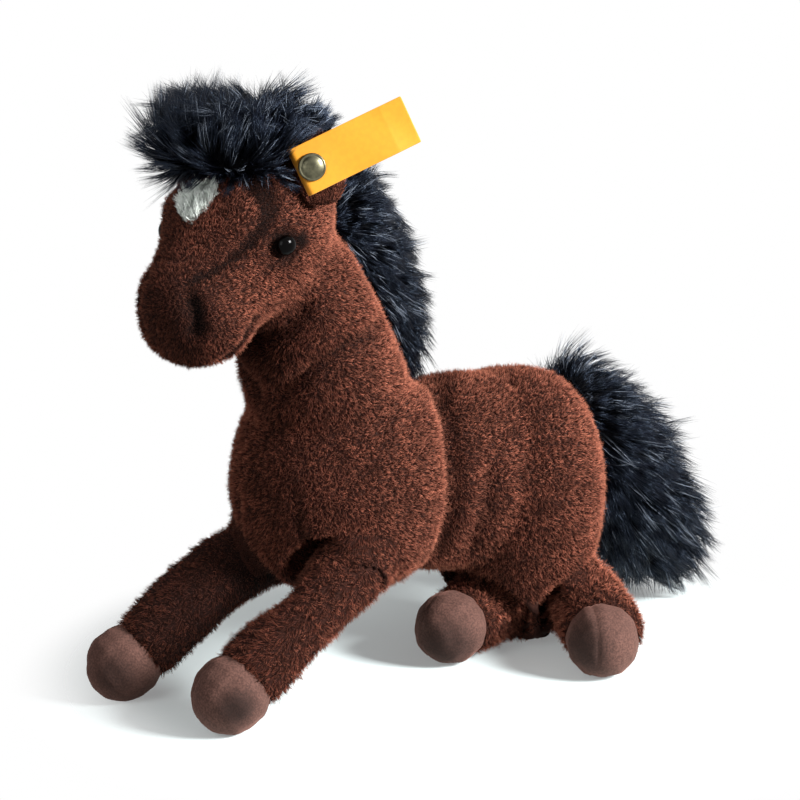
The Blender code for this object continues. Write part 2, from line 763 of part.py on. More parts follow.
class Ear:
    """A two-layer leaf-shaped ear that folds on the seam along its base."""

    def __init__(self, side, sign):
        self.side = side
        self.sign = sign
        base = HEAD_CENTRE + HEAD_AXIS * HEAD_LENGTH * EAR_BACK_SHARE
        base += CHEST_LEFT * sign * EAR_SPREAD / 2 + HEAD_UP * HEAD_HEIGHT * EAR_BASE_SHARE
        facing = Matrix.Rotation(math.radians(EAR_FACING_DEG * sign), 3, "Z") @ CHEST_FORWARD
        base += facing * HEAD_WIDTH * EAR_AHEAD_SHARE
        self.base = base
        self.across = left_of(facing)
        lean = math.radians(EAR_TILT_DEG)
        self.up = UP * math.cos(lean) - facing * math.sin(lean)
        self.out = self.across.cross(self.up) * -1
        if self.out.dot(facing) < 0:
            self.out = -self.out
        self.axis = self.across
        self.hinge = new_hinge("ear_" + side, base, self.axis)

    def stations(self, clearance=0, swing=0):
        return [
            (
                self.base + self.up * (EAR_HEIGHT * along + clearance * (2 * along - 1))
                + self.out * EAR_HEIGHT * EAR_CURL_SHARE * along**2,
                EAR_WIDTH * across + clearance,
                EAR_THICKNESS * deep + clearance + EAR_HEIGHT * along * swing,
            )
            for along, across, deep in EAR_SHARES
        ]

    def leaf(self):
        return soft_form("ear_leaf_" + self.side, self.stations(), self.across, 0, FINE_RING, 1)

    def room(self):
        """The space that the leaf sweeps as it folds."""
        swing = math.tan(math.radians((EAR_FOLD_DEG + EAR_BACK_DEG) / 2))
        stations = self.stations(EAR_CLEARANCE, swing)
        room = soft_form("ear_room_" + self.side, stations, self.across, 0, FINE_RING, 1)
        return swung(room, self.base, self.axis, (EAR_FOLD_DEG - EAR_BACK_DEG) / 2)

    def half(self, name, sign):
        far = BODY_REACH
        low = Vector((-far, -far, GAP / 2 if sign > 0 else -far))
        high = Vector((far, far, far if sign > 0 else -GAP / 2))
        return box(name, low, high, axes_at(self.base, self.up, self.out))

    def make(self, head, rivet=None):
        leaf = self.leaf()
        near = swelled(head)
        limits = (-EAR_BACK_DEG, EAR_FOLD_DEG)
        cut(leaf, near, *[swung(near, self.base, self.axis, -angle) for angle in limits])
        if rivet:
            cut(leaf, rivet.shank_room, rivet.washer_room)
        self.solid = leaf
        lining = keep(copy_of(leaf, "ear_lining"), self.half("ear_front", 1))
        back = keep(copy_of(leaf, "ear_back"), self.half("ear_rear", -1))
        finish(lining, "ear_" + self.side + "_lining", PLUSH_BROWN, self.hinge)
        finish(back, "ear_" + self.side + "_back", PLUSH_BROWN, self.hinge)


class Rivet:
    """The plain rivet through the left ear, its washer, and the folded tag that it holds."""

    def __init__(self, ear):
        self.ear = ear
        ahead = ear.across * EAR_WIDTH * RIVET_AHEAD_SHARE
        self.place = ear.base + ear.up * EAR_HEIGHT * RIVET_UP_SHARE + ahead
        self.matrix = axes_at(self.place, ear.across, ear.out)
        shank = RIVET_SHANK_DIAMETER / 2
        radius = RIVET_DIAMETER / 2
        self.tag_back = EAR_THICKNESS / 2 + GAP
        seat = self.tag_back + TAG_THICKNESS + GAP
        washer_face = -self.tag_back
        end = washer_face - WASHER_THICKNESS
        arc = [math.tau / 4 * step / ARC_STEPS for step in range(ARC_STEPS + 1)]
        dome = [(radius * math.sin(angle), seat + RIVET_HEIGHT * (RIM_SHARE + DOME_SHARE * math.cos(angle)))
                for angle in arc]
        stem = [(radius, seat), (shank, seat), (shank, end), (0, end)]
        self.cap = turned("rivet", dome + stem, self.matrix)
        bore = shank + GAP
        wide = RIVET_WASHER_DIAMETER / 2
        ring = [(wide, washer_face), (wide, end), (bore, end), (bore, washer_face)]
        self.washer = turned("rivet_washer", ring, self.matrix)
        room = [(0, OVERRUN), (bore, OVERRUN), (bore, -OVERRUN), (0, -OVERRUN)]
        self.shank_room = turned("shank_room", room, self.matrix)
        near = washer_face + GAP
        wide += GAP
        washer_room = [(0, near), (wide, near), (wide, -OVERRUN), (0, -OVERRUN)]
        self.washer_room = turned("washer_room", washer_room, self.matrix)
        self.hinge = new_hinge("ear_tag", self.place + ear.out * self.tag_back, ear.out, ear.hinge)

    def room(self):
        """The space that the tag and the rivet sweep as the ear folds and the tag swivels."""
        reach = TAG_LENGTH + EAR_CLEARANCE
        tail = -TAG_TAIL - EAR_CLEARANCE
        high = TAG_WIDTH * TAG_ROOM_SHARE
        outline = [(tail, -high / 2), (reach, -high), (reach, high), (tail, high / 2)]
        tilt = Matrix.Rotation(math.radians(TAG_TILT_DEG), 3, self.ear.out)
        depth = 2 * EAR_HEIGHT * math.sin(math.radians(EAR_FOLD_DEG))
        middle = self.place + self.ear.out * (depth / 2 - 2 * EAR_THICKNESS)
        return prism("tag_room", outline, axes_at(middle, tilt @ self.ear.across, self.ear.out), depth)

    def tag(self):
        """The tag's outline lies in the ear's plane, with its free end up and to the rear."""
        tail = [(-TAG_TAIL, -TAG_WIDTH * TAG_TAIL_SHARE), (-TAG_TAIL, TAG_WIDTH * TAG_TAIL_SHARE)]
        upper = [(TAG_LENGTH * along, TAG_WIDTH * half) for along, half in TAG_SHARES]
        outline = tail + upper + [(along, -half) for along, half in reversed(upper)]
        tilt = Matrix.Rotation(math.radians(TAG_TILT_DEG), 3, self.ear.out)
        middle = self.place + self.ear.out * (self.tag_back + TAG_THICKNESS / 2)
        solid = prism("tag", outline, axes_at(middle, tilt @ self.ear.across, self.ear.out), TAG_THICKNESS)
        return cut(solid, self.shank_room_long())

    def shank_room_long(self):
        bore = RIVET_SHANK_DIAMETER / 2 + GAP
        high = self.tag_back + OVERRUN
        return turned("tag_bore", [(0, high), (bore, high), (bore, 0), (0, 0)], self.matrix)

    def make(self):
        self.tag_solid = self.tag()
        finish(self.cap, "ear_button", METAL, self.ear.hinge)
        finish(self.washer, "ear_button_washer", METAL, self.ear.hinge)
        finish(self.tag_solid, "ear_tag", TAG_CLOTH, self.hinge)


def make_forelock(head, rooms):
    foot = HEAD_CENTRE + UP * HEAD_HEIGHT * FORELOCK_FOOT_SHARE
    foot += CHEST_FORWARD * HEAD_LENGTH * FORELOCK_AHEAD_SHARE
    stations = [
        (foot + UP * FORELOCK_HEIGHT * along, FORELOCK_WIDTH * across, FORELOCK_LENGTH * deep)
        for along, across, deep in FORELOCK_SHARES
    ]
    form = soft_form("forelock_form", stations, CHEST_LEFT, 0, FINE_RING, 1)
    cut(form, swelled(head), *rooms)
    outer = copy_of(form, "forelock_outer")
    finish(form, "forelock", LONG_BLACK)
    return outer


def make_mane(head, trunk, forelock, rooms):
    top = HEAD_CENTRE - CHEST_FORWARD * HEAD_LENGTH * MANE_TOP_SHARE + UP * HEAD_HEIGHT * MANE_RISE_SHARE
    way = -CHEST_FORWARD * MANE_LENGTH * MANE_LEAN_SHARE - UP * MANE_LENGTH
    bow = -CHEST_FORWARD * MANE_DEPTH * MANE_BOW_SHARE
    stations = [
        (top + way * along + bow * math.sin(math.pi * along), MANE_WIDTH * across, MANE_DEPTH * deep)
        for along, across, deep in MANE_SHARES
    ]
    form = soft_form("mane_form", stations, CHEST_LEFT, 0, FINE_RING, 1)
    cut(form, swelled(head), swelled(trunk), swelled(forelock), *rooms)
    finish(form, "neck_mane", LONG_BLACK)


def make_tail(trunk, legs, floor):
    root = -FORWARD * (HAUNCH_AT + HAUNCH_LENGTH * TAIL_ROOT_SHARE)
    left = left_of(FORWARD)
    stations = [
        (
            root - FORWARD * TAIL_REACH * along - left * TAIL_WIDTH * TAIL_DRIFT_SHARE * along
            + UP * TAIL_ROOT_HEIGHT * high,
            TAIL_WIDTH * across,
            TAIL_DEPTH * deep,
        )
        for along, high, across, deep in TAIL_SHARES
    ]
    form = soft_form("tail_form", stations, left, 0, FINE_RING, 1)
    place = root + UP * TAIL_ROOT_HEIGHT * TAIL_HINGE_SHARE
    hinge = new_hinge("tail", place, left)
    rooms = [leg.room(leg.name + "_tail_room", GAP) for leg in legs]
    cut(form, floor, swelled(trunk), *rooms)
    finish(form, "tail", LONG_BLACK, hinge)


def main():
    floor = box("floor", Vector((-BODY_REACH, -BODY_REACH, -BODY_REACH)), Vector((BODY_REACH, BODY_REACH, 0)))
    legs = make_legs()
    head = head_form("head_outer", 0, 2)
    eyes = [Eye("left", 1, head), Eye("right", -1, head)]
    trunk = make_trunk(legs, head, floor)
    make_head(head, eyes)
    for eye in eyes:
        eye.make()
    for leg in legs:
        leg.make(floor)
    left_ear = Ear("left", 1)
    right_ear = Ear("right", -1)
    rivet = Rivet(left_ear)
    left_ear.make(head, rivet)
    right_ear.make(head)
    rivet.make()
    rooms = [left_ear.room(), right_ear.room(), rivet.room()]
    forelock = make_forelock(head, rooms)
    make_mane(head, trunk, forelock, rooms)
    make_tail(trunk, [leg for leg in legs if leg.name.startswith("hind")], floor)
    centre_on_footprint()


def centre_on_footprint():
    """Moves the whole foal so that the middle of its footprint is the origin."""
    bpy.context.view_layer.update()
    pieces = [obj for obj in PARTS.objects if obj.type == "MESH"]
    corners = [obj.matrix_world @ Vector(corner) for obj in pieces for corner in obj.bound_box]
    low = Vector((min(c.x for c in corners), min(c.y for c in corners), 0))
    high = Vector((max(c.x for c in corners), max(c.y for c in corners), 0))
    ROOT.location = -(low + high) / 2


clear_scene()
PARTS = new_collection("Plush foal")
CUTTERS = new_collection("Cutters")
ROOT = bpy.data.objects.new("foal", None)
PARTS.objects.link(ROOT)
PLUSH_BROWN = material("Brown plush", (0.09, 0.03, 0.022), 0.95)
CURLY = material("Curly brown plush", (0.10, 0.034, 0.024), 0.95)
SUEDE = material("Brown velour", (0.16, 0.085, 0.065), 0.9)
PLUSH_WHITE = material("White plush", (0.72, 0.76, 0.72), 0.95)
LONG_BLACK = material("Long black pile", (0.010, 0.011, 0.015), 0.6)
FIBRE = material("Polyester fibre", (0.8, 0.8, 0.78), 0.95)
BLACK = material("Black eye", (0.004, 0.004, 0.004), 0.08)
GREY = material("Grey washer", (0.4, 0.4, 0.4), 0.5)
METAL = material("Rivet metal", (0.50, 0.47, 0.36), 0.35, 1.0)
TAG_CLOTH = material("Yellow tag cloth", (0.9, 0.42, 0.01), 0.8)
main()
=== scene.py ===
"""Dressed model of a plush horse that lies with its fore legs out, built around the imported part.

Lengths are in metres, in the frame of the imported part. The soft pieces are skins taken from the CAD solids,
drawn in by the depth of their pile, with the pile grown on them strand by strand.
"""
import itertools
import json
import math
from contextlib import contextmanager
from dataclasses import dataclass, replace
from typing import NamedTuple

import bpy
import numpy as np
from bpy.props import FloatProperty, FloatVectorProperty, IntProperty, PointerProperty
from mathutils import Matrix, Vector
from mathutils.bvhtree import BVHTree


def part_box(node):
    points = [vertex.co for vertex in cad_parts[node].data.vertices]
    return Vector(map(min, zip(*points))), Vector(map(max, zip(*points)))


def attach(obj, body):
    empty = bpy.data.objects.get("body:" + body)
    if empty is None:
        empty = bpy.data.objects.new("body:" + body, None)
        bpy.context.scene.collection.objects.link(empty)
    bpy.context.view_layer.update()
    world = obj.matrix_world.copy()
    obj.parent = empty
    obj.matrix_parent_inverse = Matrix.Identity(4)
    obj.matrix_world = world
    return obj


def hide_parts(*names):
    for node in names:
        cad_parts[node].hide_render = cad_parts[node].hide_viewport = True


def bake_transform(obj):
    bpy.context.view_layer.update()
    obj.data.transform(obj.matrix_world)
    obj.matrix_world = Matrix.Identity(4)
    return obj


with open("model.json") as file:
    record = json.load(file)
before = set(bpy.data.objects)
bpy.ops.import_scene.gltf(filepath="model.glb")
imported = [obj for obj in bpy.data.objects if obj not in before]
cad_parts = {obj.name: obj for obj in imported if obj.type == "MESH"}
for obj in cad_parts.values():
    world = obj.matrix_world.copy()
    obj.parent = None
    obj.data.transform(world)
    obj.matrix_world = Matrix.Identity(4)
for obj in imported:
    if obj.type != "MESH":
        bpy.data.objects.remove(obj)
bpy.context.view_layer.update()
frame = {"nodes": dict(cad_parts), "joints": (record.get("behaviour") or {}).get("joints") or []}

bl_info = {
    "name": "Plush horse",
    "version": (1, 0, 0),
    "blender": (4, 5, 0),
    "location": "View3D > Sidebar > Plush horse",
    "description": "Dresses the packed plush horse in pile, hair, suede, glass and cloth, and sets its stage",
    "category": "Add Mesh",
}

MOST_TRIANGLES = 190000
MERGE = 0.00002
FLOOR_GAP = 0.0003
UV_MAP = "OFBake"
UNWRAP_ANGLE = math.radians(66)
UNWRAP_MARGIN = 0.004
PILE = "pile"
LATTICE = 24

# How places are tested against skins: the ways of the lines, how far they step past a face, and their reach.
SOUNDING = Vector((0.36, 0.48, 0.8))
STEP_PAST = 1e-6
SLANT = (0.3, 0.5, 0.81)
MOST_CROSSINGS = 30
ENCLOSED_REACH = 0.012
CLEAR_OF_TRIM = 0.0016

# The grain at which each skin is made, and how far skins are drawn in, in metres or as a share of the pile.
BODY_GRAIN = 0.0014
LEG_GRAIN = 0.0011
CUFF_GRAIN = 0.0013
HOOF_GRAIN = 0.0009
EAR_GRAIN = 0.0006
HAIR_GRAIN = 0.0012
EAR_INSET = 0.0006
HAIR_INSET = 0.0012
HAIR_DRAWN_IN = 0.42
HEAD_INSET_SHARE = 0.9
LEG_INSET_SHARE = 0.6
CUFF_INSET_SHARE = 0.75

# How wide the folds between sewn parts are smoothed, and the cuffs that close the folds of the legs.
NECK_FOLD = 0.007
FOLD_FADE = 1.6
FOLD_ROUNDS = 70
CUFF_FOLD = 0.010
CUFF_BAND = 0.0075
CUFF_BALL = 0.0135
CUFF_WALL = 0.0010
CUFF_REACH = 0.030
CUFF_COVER = 0.012
CUFF_DEPTH = 0.0005
CUFF_SLIP = 0.0007
CUFF_CLEAR = 0.0004

SIDES = ("left", "right")
LEGS = ("front_leg_left", "front_leg_right", "hind_leg_left", "hind_leg_right")
BODY_NODES = ("body_panel_left", "body_panel_right", "belly_gusset", "body_stuffing")
HEAD_NODES = ("head_panel_left", "head_panel_right", "head_gusset", "head_stuffing", "blaze_patch")
COVER_NODES = BODY_NODES + HEAD_NODES
BODY_PANELS = ("body_panel_left", "body_panel_right")
HEAD_PANELS = ("head_panel_left", "head_panel_right", "head_gusset")

# The stage: the floor fades out between two distances, from one strength to the other.
CAMERA_PLACE = (-0.4969, -0.6771, 0.2825)
CAMERA_TARGET = (0.0062, 0.0413, 0.080)
CAMERA_LENS = 121.5
CAMERA_SENSOR = 36.0
LAMP_TARGET = (0, 0, 0.06)
FLOOR_RADIUS = 2.0
FLOOR_FADE = (0.098, 0.146, 0.78, 0.0)


# Plain geometry

def unit(vectors):
    """The vectors at length one."""
    return vectors / np.maximum(np.linalg.norm(vectors, axis=-1, keepdims=True), 1e-12)


def waves(points, size, seed):
    """Three smooth values between about -1 and 1 at each point, in waves about size long."""
    table = np.random.default_rng(seed).uniform(-1, 1, (LATTICE,) * 3 + (3,))
    at = points / size
    cell = np.floor(at).astype(int)
    part = at - cell
    part = part * part * (3 - 2 * part)
    total = np.zeros_like(points)
    for corner in itertools.product((0, 1), repeat=3):
        share = np.where(corner, part, 1 - part).prod(axis=1)
        where = (cell + corner) % LATTICE
        total += share[:, None] * table[where[:, 0], where[:, 1], where[:, 2]]
    return total


def from_line(points, line):
    """Distance from each point to a polyline."""
    line = np.asarray(line, float)
    best = np.full(len(points), np.inf)
    for start, end in zip(line[:-1], line[1:]):
        run = end - start
        share = np.clip((points - start) @ run / (run @ run), 0, 1)
        best = np.minimum(best, np.linalg.norm(points - start - share[:, None] * run, axis=1))
    return best


def from_place(points, place):
    """Distance from each point to a place."""
    return np.linalg.norm(points - place, axis=1)


def add_object(name, data):
    """A new object in the scene."""
    obj = bpy.data.objects.new(name, data)
    bpy.context.scene.collection.objects.link(obj)
    return obj


def select(*objects):
    """Selects only these objects and makes the first one active."""
    bpy.ops.object.select_all(action="DESELECT")
    for obj in objects:
        obj.select_set(True)
    bpy.context.view_layer.objects.active = objects[0]


def apply_modifier(obj, kind, **values):
    """Adds one modifier with its values and applies it."""
    modifier = obj.modifiers.new(kind.title(), kind)
    for key, value in values.items():
        setattr(modifier, key, value)
    select(obj)
    bpy.ops.object.modifier_apply(modifier=modifier.name)


def apply_place(obj):
    """Puts an object's place, turn and size into its mesh."""
    select(obj)
    bpy.ops.object.transform_apply(location=True, rotation=True, scale=True)


@contextmanager
def editing(obj):
    """Edit mode on an object, with all of its mesh selected."""
    select(obj)
    bpy.ops.object.mode_set(mode="EDIT")
    bpy.ops.mesh.select_all(action="SELECT")
    yield
    bpy.ops.object.mode_set(mode="OBJECT")


def remesh(obj, voxel):
    """Makes a mesh anew over its outside, at a grain."""
    apply_modifier(obj, "REMESH", mode="VOXEL", voxel_size=voxel, use_smooth_shade=True)


def smooth(obj, rounds, **values):
    """Smooths a mesh a number of times."""
    apply_modifier(obj, "SMOOTH", factor=0.5, iterations=rounds, **values)


def values_of(items, key, width, kind=np.float32):
    """What each item of a mesh holds under a key, in rows."""
    found = np.empty(len(items) * width, kind)
    items.foreach_get(key, found)
    return found.reshape(-1, width)


def points_of(mesh):
    """A mesh's points."""
    return values_of(mesh.vertices, "co", 3).astype(float)


def normals_of(mesh):
    """A mesh's smooth normals."""
    return values_of(mesh.vertex_normals, "vector", 3).astype(float)


def set_points(mesh, points):
    """Moves a mesh's points."""
    mesh.vertices.foreach_set("co", points.astype(np.float32).ravel())
    mesh.update()


def node_points(node):
    """The points of a CAD node."""
    return points_of(frame["nodes"][node].data)


def middle(node):
    """The middle of a CAD node's box."""
    low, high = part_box(node)
    return np.array((low + high) / 2)


# Skins

def stitched_copy(name, nodes):
    """One mesh of copies of CAD nodes, with their doubles merged."""
    copies = []
    for node in nodes:
        mesh = frame["nodes"][node].data.copy()
        mesh.materials.clear()
        copies.append(add_object(name, mesh))
    select(*copies)
    if len(copies) > 1:
        bpy.ops.object.join()
    made = bpy.context.view_layer.objects.active
    made.name = made.data.name = name
    with editing(made):
        bpy.ops.mesh.remove_doubles(threshold=MERGE)
    return made


def outer_shell(obj):
    """Drops every loose shell of an object but the largest, such as the walls of a hollow."""
    name = obj.name
    with editing(obj):
        bpy.ops.mesh.separate(type="LOOSE")
    shells = sorted(bpy.context.selected_objects, key=lambda shell: -shell.dimensions.length)
    for shell in shells[1:]:
        bpy.data.objects.remove(shell)
    shells[0].name = shells[0].data.name = name
    return shells[0]


def make_skin(name, nodes, voxel, inset, soften):
    """A smooth skin over CAD nodes, drawn in by inset."""
    skin = stitched_copy(name, nodes)
    remesh(skin, voxel)
    skin = outer_shell(skin)
    if nodes == COVER_NODES:
        soften_fold(skin, HEAD_PANELS, BODY_PANELS, NECK_FOLD)
    smooth(skin, soften)
    draw_in(skin, inset)
    smooth(skin, 2)
    return skin


def draw_in(skin, inset):
    """Draws a skin in by inset, and lifts what is under the floor."""
    points = points_of(skin.data) - normals_of(skin.data) * inset
    points[:, 2] = np.maximum(points[:, 2], FLOOR_GAP)
    set_points(skin.data, points)


def nearest_of(points, nodes):
    """Distance from each point to the nearest of some CAD nodes."""
    best = np.full(len(points), np.inf)
    for node in nodes:
        tree = tree_of(frame["nodes"][node])
        best = np.minimum(best, [tree.find_nearest(Vector(p))[3] for p in points])
    return best


def on_head(points):
    """True for each point that is nearer to the head's panels than to the body's."""
    return nearest_of(points, HEAD_PANELS) < nearest_of(points, BODY_PANELS)


def soften_fold(skin, first, second, reach):
    """Smooths the fold where one group of CAD nodes meets another. Gives each point's distance from it."""
    points = points_of(skin.data)
    apart = np.maximum(nearest_of(points, first), nearest_of(points, second))
    weight = np.clip(FOLD_FADE * (1 - apart / reach), 0, 1)
    group = skin.vertex_groups.new(name="fold")
    for index in np.flatnonzero(weight):
        group.add([int(index)], float(weight[index]), "REPLACE")
    smooth(skin, FOLD_ROUNDS, vertex_group="fold")
    skin.vertex_groups.clear()
    return apart


def joint_of(body):
    """Where a body's joint stands, and its axis."""
    joint = next(joint for joint in frame["joints"] if joint["child"] == body)
    return np.array(joint["pos_m"], float), np.array(joint["axis"], float)


def make_cuff(leg, inset):
    """The band that closes the fold between a leg and the body: its outer face alone, and the whole band."""
    root, _ = joint_of(leg)
    whole = stitched_copy(leg + "_whole", BODY_NODES + (leg, leg + "_stuffing"))
    bpy.ops.mesh.primitive_ico_sphere_add(subdivisions=4, radius=CUFF_BALL, location=root)
    ball = bpy.context.object
    select(whole, ball)
    bpy.ops.object.join()
    remesh(whole, CUFF_GRAIN)
    whole = outer_shell(whole)
    apart = soften_fold(whole, (leg,), BODY_PANELS, CUFF_FOLD)
    smooth(whole, 6)
    draw_in(whole, inset)
    swell_legs(whole)
    far = apart > CUFF_BAND
    whole.data.vertices.foreach_set("select", far)
    for parts in (whole.data.edges, whole.data.polygons):
        parts.foreach_set("select", [bool(far[list(part.vertices)].all()) for part in parts])
    select(whole)
    bpy.ops.object.mode_set(mode="EDIT")
    bpy.ops.mesh.delete(type="VERT")
    bpy.ops.object.mode_set(mode="OBJECT")
    whole.name = whole.data.name = leg + "_cuff_face"
    cuff = add_object(leg + "_cuff", whole.data.copy())
    apply_modifier(cuff, "SOLIDIFY", thickness=CUFF_WALL, offset=-1.0)
    return whole, cuff


def unwrap(obj):
    """Lays the bake's map on an object."""
    while obj.data.uv_layers:
        obj.data.uv_layers.remove(obj.data.uv_layers[0])
    obj.data.uv_layers.new(name=UV_MAP)
    with editing(obj):
        bpy.ops.uv.smart_project(angle_limit=UNWRAP_ANGLE, island_margin=UNWRAP_MARGIN)


# Pile: what all kinds share. The shares are of a strand's length, width or tone, or of the bake's map.

BURIED_SHARE = 0.3
LEAST_RISE = 0.25
LENGTH_SHARES = (0.75, 1.1)
WIDTH_SHARES = (0.8, 1.2)
TAPER_SHARE = 0.75
TAPER_POWER = 1.5
SHADED_CUT_SHARE = 0.4
TUFT_TONE_SHARE = 0.4
BAKE_SPOT = 0.002
BAKE_EDGE = (0.002, 0.996)


@dataclass
class Coat:
    """How one kind of pile grows.

    Sizes are in metres, density is in strands to the square metre, and the rest are shares of a length.
    """

    length: float
    width: float
    density: float
    stand: float = 0.7
    ruffle: float = 0.3
    ruffle_size: float = 0.006
    stray: float = 0.15
    clump: float = 0.0015
    pull: float = 0.4
    tuft: float = 0.15
    steps: int = 1
    bow: float = 0.3
    uneven: float = 0.0


def rows(chosen, *arrays):
    """The chosen rows of each array."""
    return [array[chosen] for array in arrays]


def scatter(skin, density, rng):
    """Roots spread evenly over a skin: (places, smooth normals, places on the bake's map)."""
    mesh = skin.data
    mesh.calc_loop_triangles()
    corners = values_of(mesh.loop_triangles, "vertices", 3, np.int32)
    loops = values_of(mesh.loop_triangles, "loops", 3, np.int32)
    flat = values_of(mesh.uv_layers[UV_MAP].data, "uv", 2)
    points, normals = points_of(mesh), normals_of(mesh)
    a, b, c = (points[corners[:, i]] for i in range(3))
    area = np.linalg.norm(np.cross(b - a, c - a), axis=1) / 2
    total = np.cumsum(area)
    wanted = int(total[-1] * density)
    pick = np.searchsorted(total, (np.arange(wanted) + rng.random(wanted)) / wanted * total[-1])
    pick = np.minimum(pick, len(corners) - 1)
    s, t = np.sqrt(rng.random(wanted)), rng.random(wanted)
    shares = np.stack([1 - s, s * (1 - t), s * t], axis=1)[:, :, None]
    place = (points[corners[pick]] * shares).sum(axis=1)
    normal = unit((normals[corners[pick]] * shares).sum(axis=1))
    return place, normal, (flat[loops[pick]] * shares).sum(axis=1)


def tree_of(obj):
    """A search tree of an object's faces."""
    mesh = obj.data
    mesh.calc_loop_triangles()
    return BVHTree.FromPolygons(
        [tuple(p) for p in points_of(mesh)], [tuple(t.vertices) for t in mesh.loop_triangles]
    )


def inside(tree, place):
    """True if a line from the place crosses a closed skin's faces an odd number of times."""
    crossings = 0
    at = place.copy()
    while crossings < MOST_CROSSINGS:
        found = tree.ray_cast(at, SOUNDING)[0]
        if found is None:
            break
        crossings += 1
        at = found + SOUNDING * STEP_PAST
    return crossings % 2 == 1


def buried(places, covers, depth):
    """True for each place that lies deeper than depth inside one of the covering skins."""
    found = np.zeros(len(places), bool)
    for cover in covers:
        tree = tree_of(cover)
        points = points_of(cover.data)
        near = ((places > points.min(axis=0)) & (places < points.max(axis=0))).all(axis=1) & ~found
        for i in np.flatnonzero(near):
            place = Vector(places[i])
            found[i] = inside(tree, place) and tree.find_nearest(place)[3] > depth
    return found


def enclosed(places, normals, covers, reach):
    """True for each place from which every line outwards meets a covering skin within reach."""
    if not covers:
        return np.zeros(len(places), bool)
    trees = [tree_of(cover) for cover in covers]
    side = unit(np.cross(normals, SLANT))
    other = np.cross(normals, side)
    lines = [normals] + [unit(normals + out * sign) for out in (side, other) for sign in (1, -1)]
    shut = np.ones(len(places), bool)
    for line in lines:
        for i in np.flatnonzero(shut):
            start, way = Vector(places[i]), Vector(line[i])
            shut[i] = any(tree.ray_cast(start, way, reach)[0] is not None for tree in trees)
    return shut


def beside_tag(paths):
    """True for each strand that doesn't pass in front of the rivet and the tag."""
    along, across = TAG_LIE, np.cross(RIVET_AXIS, TAG_LIE)
    apart = paths - RIVET_PLACE
    beside = np.abs(apart @ across) < TAG_ASIDE
    over = (apart @ RIVET_AXIS > -TAG_DEPTH) & beside & (apart @ along > -TAG_BEHIND)
    return ~over.any(axis=1)


def off_skins(skins, clearance):
    """A test that is true for each place that is off all of some skins."""
    trees = [tree_of(skin) for skin in skins]
    return lambda places: np.array([all(tree.find_nearest(Vector(p), clearance)[0] is None for tree in trees)
                                    for p in places])


def under_cuff(places, leg, face):
    """True for each place that the outer face of a leg's cuff covers."""
    tree = tree_of(face)
    near = from_place(places, joint_of(leg)[0]) < CUFF_REACH
    found = np.zeros(len(places), bool)
    for i in np.flatnonzero(near):
        place = Vector(places[i])
        over, normal, _, _ = tree.find_nearest(place, CUFF_COVER)
        if over is not None:
            depth = (over - place).dot(normal)
            found[i] = depth > CUFF_DEPTH and (over - place - normal * depth).length < CUFF_SLIP
    return found


def far_from(paths, objects, clearance):
    """True for each strand whose every station keeps a clearance from some objects."""
    kept = np.ones(len(paths), bool)
    for obj in objects:
        tree = tree_of(obj)
        for i in np.flatnonzero(kept):
            kept[i] = all(tree.find_nearest(Vector(p), clearance)[0] is None for p in paths[i])
    return kept


def gathered(root, tip, size, pull, tuft, rng):
    """Tips drawn together in leaning tufts about size across, and a random value for each tuft."""
    seed = int(rng.integers(1 << 30))
    cell = np.floor((root + waves(root, 2 * size, seed) * size) / size).astype(int)
    _, group = np.unique(cell, axis=0, return_inverse=True)
    group = group.ravel()
    count = np.bincount(group)
    centre = np.stack([np.bincount(group, tip[:, i]) / count for i in range(3)], axis=1)
    lean = rng.normal(0, tuft, (len(count), 3)) * np.linalg.norm(tip - root, axis=1).mean()
    return tip + (centre[group] - tip) * pull + lean[group], rng.random(len(count))[group]


def strand_meshes(name, paths, widths, flat, marks, rng):
    """Closed three-sided strands that run to a point, in meshes under the most triangles.

    paths is (strand, station, 3), and marks is (strand, 2): a random value and a shade.
    """
    strands, stations, _ = paths.shape
    steps = stations - 1
    faces = 6 * (steps - 1) + 4
    parts = max(1, math.ceil(strands * faces / MOST_TRIANGLES))
    order = np.argsort(paths[:, 0, 0], kind="stable")
    made = []
    for number, chosen in enumerate(np.array_split(order, parts)):
        title = f"{name}_{number + 1}" if parts > 1 else name
        made.append(strand_mesh(title, *rows(chosen, paths, widths, flat, marks), rng))
    return made


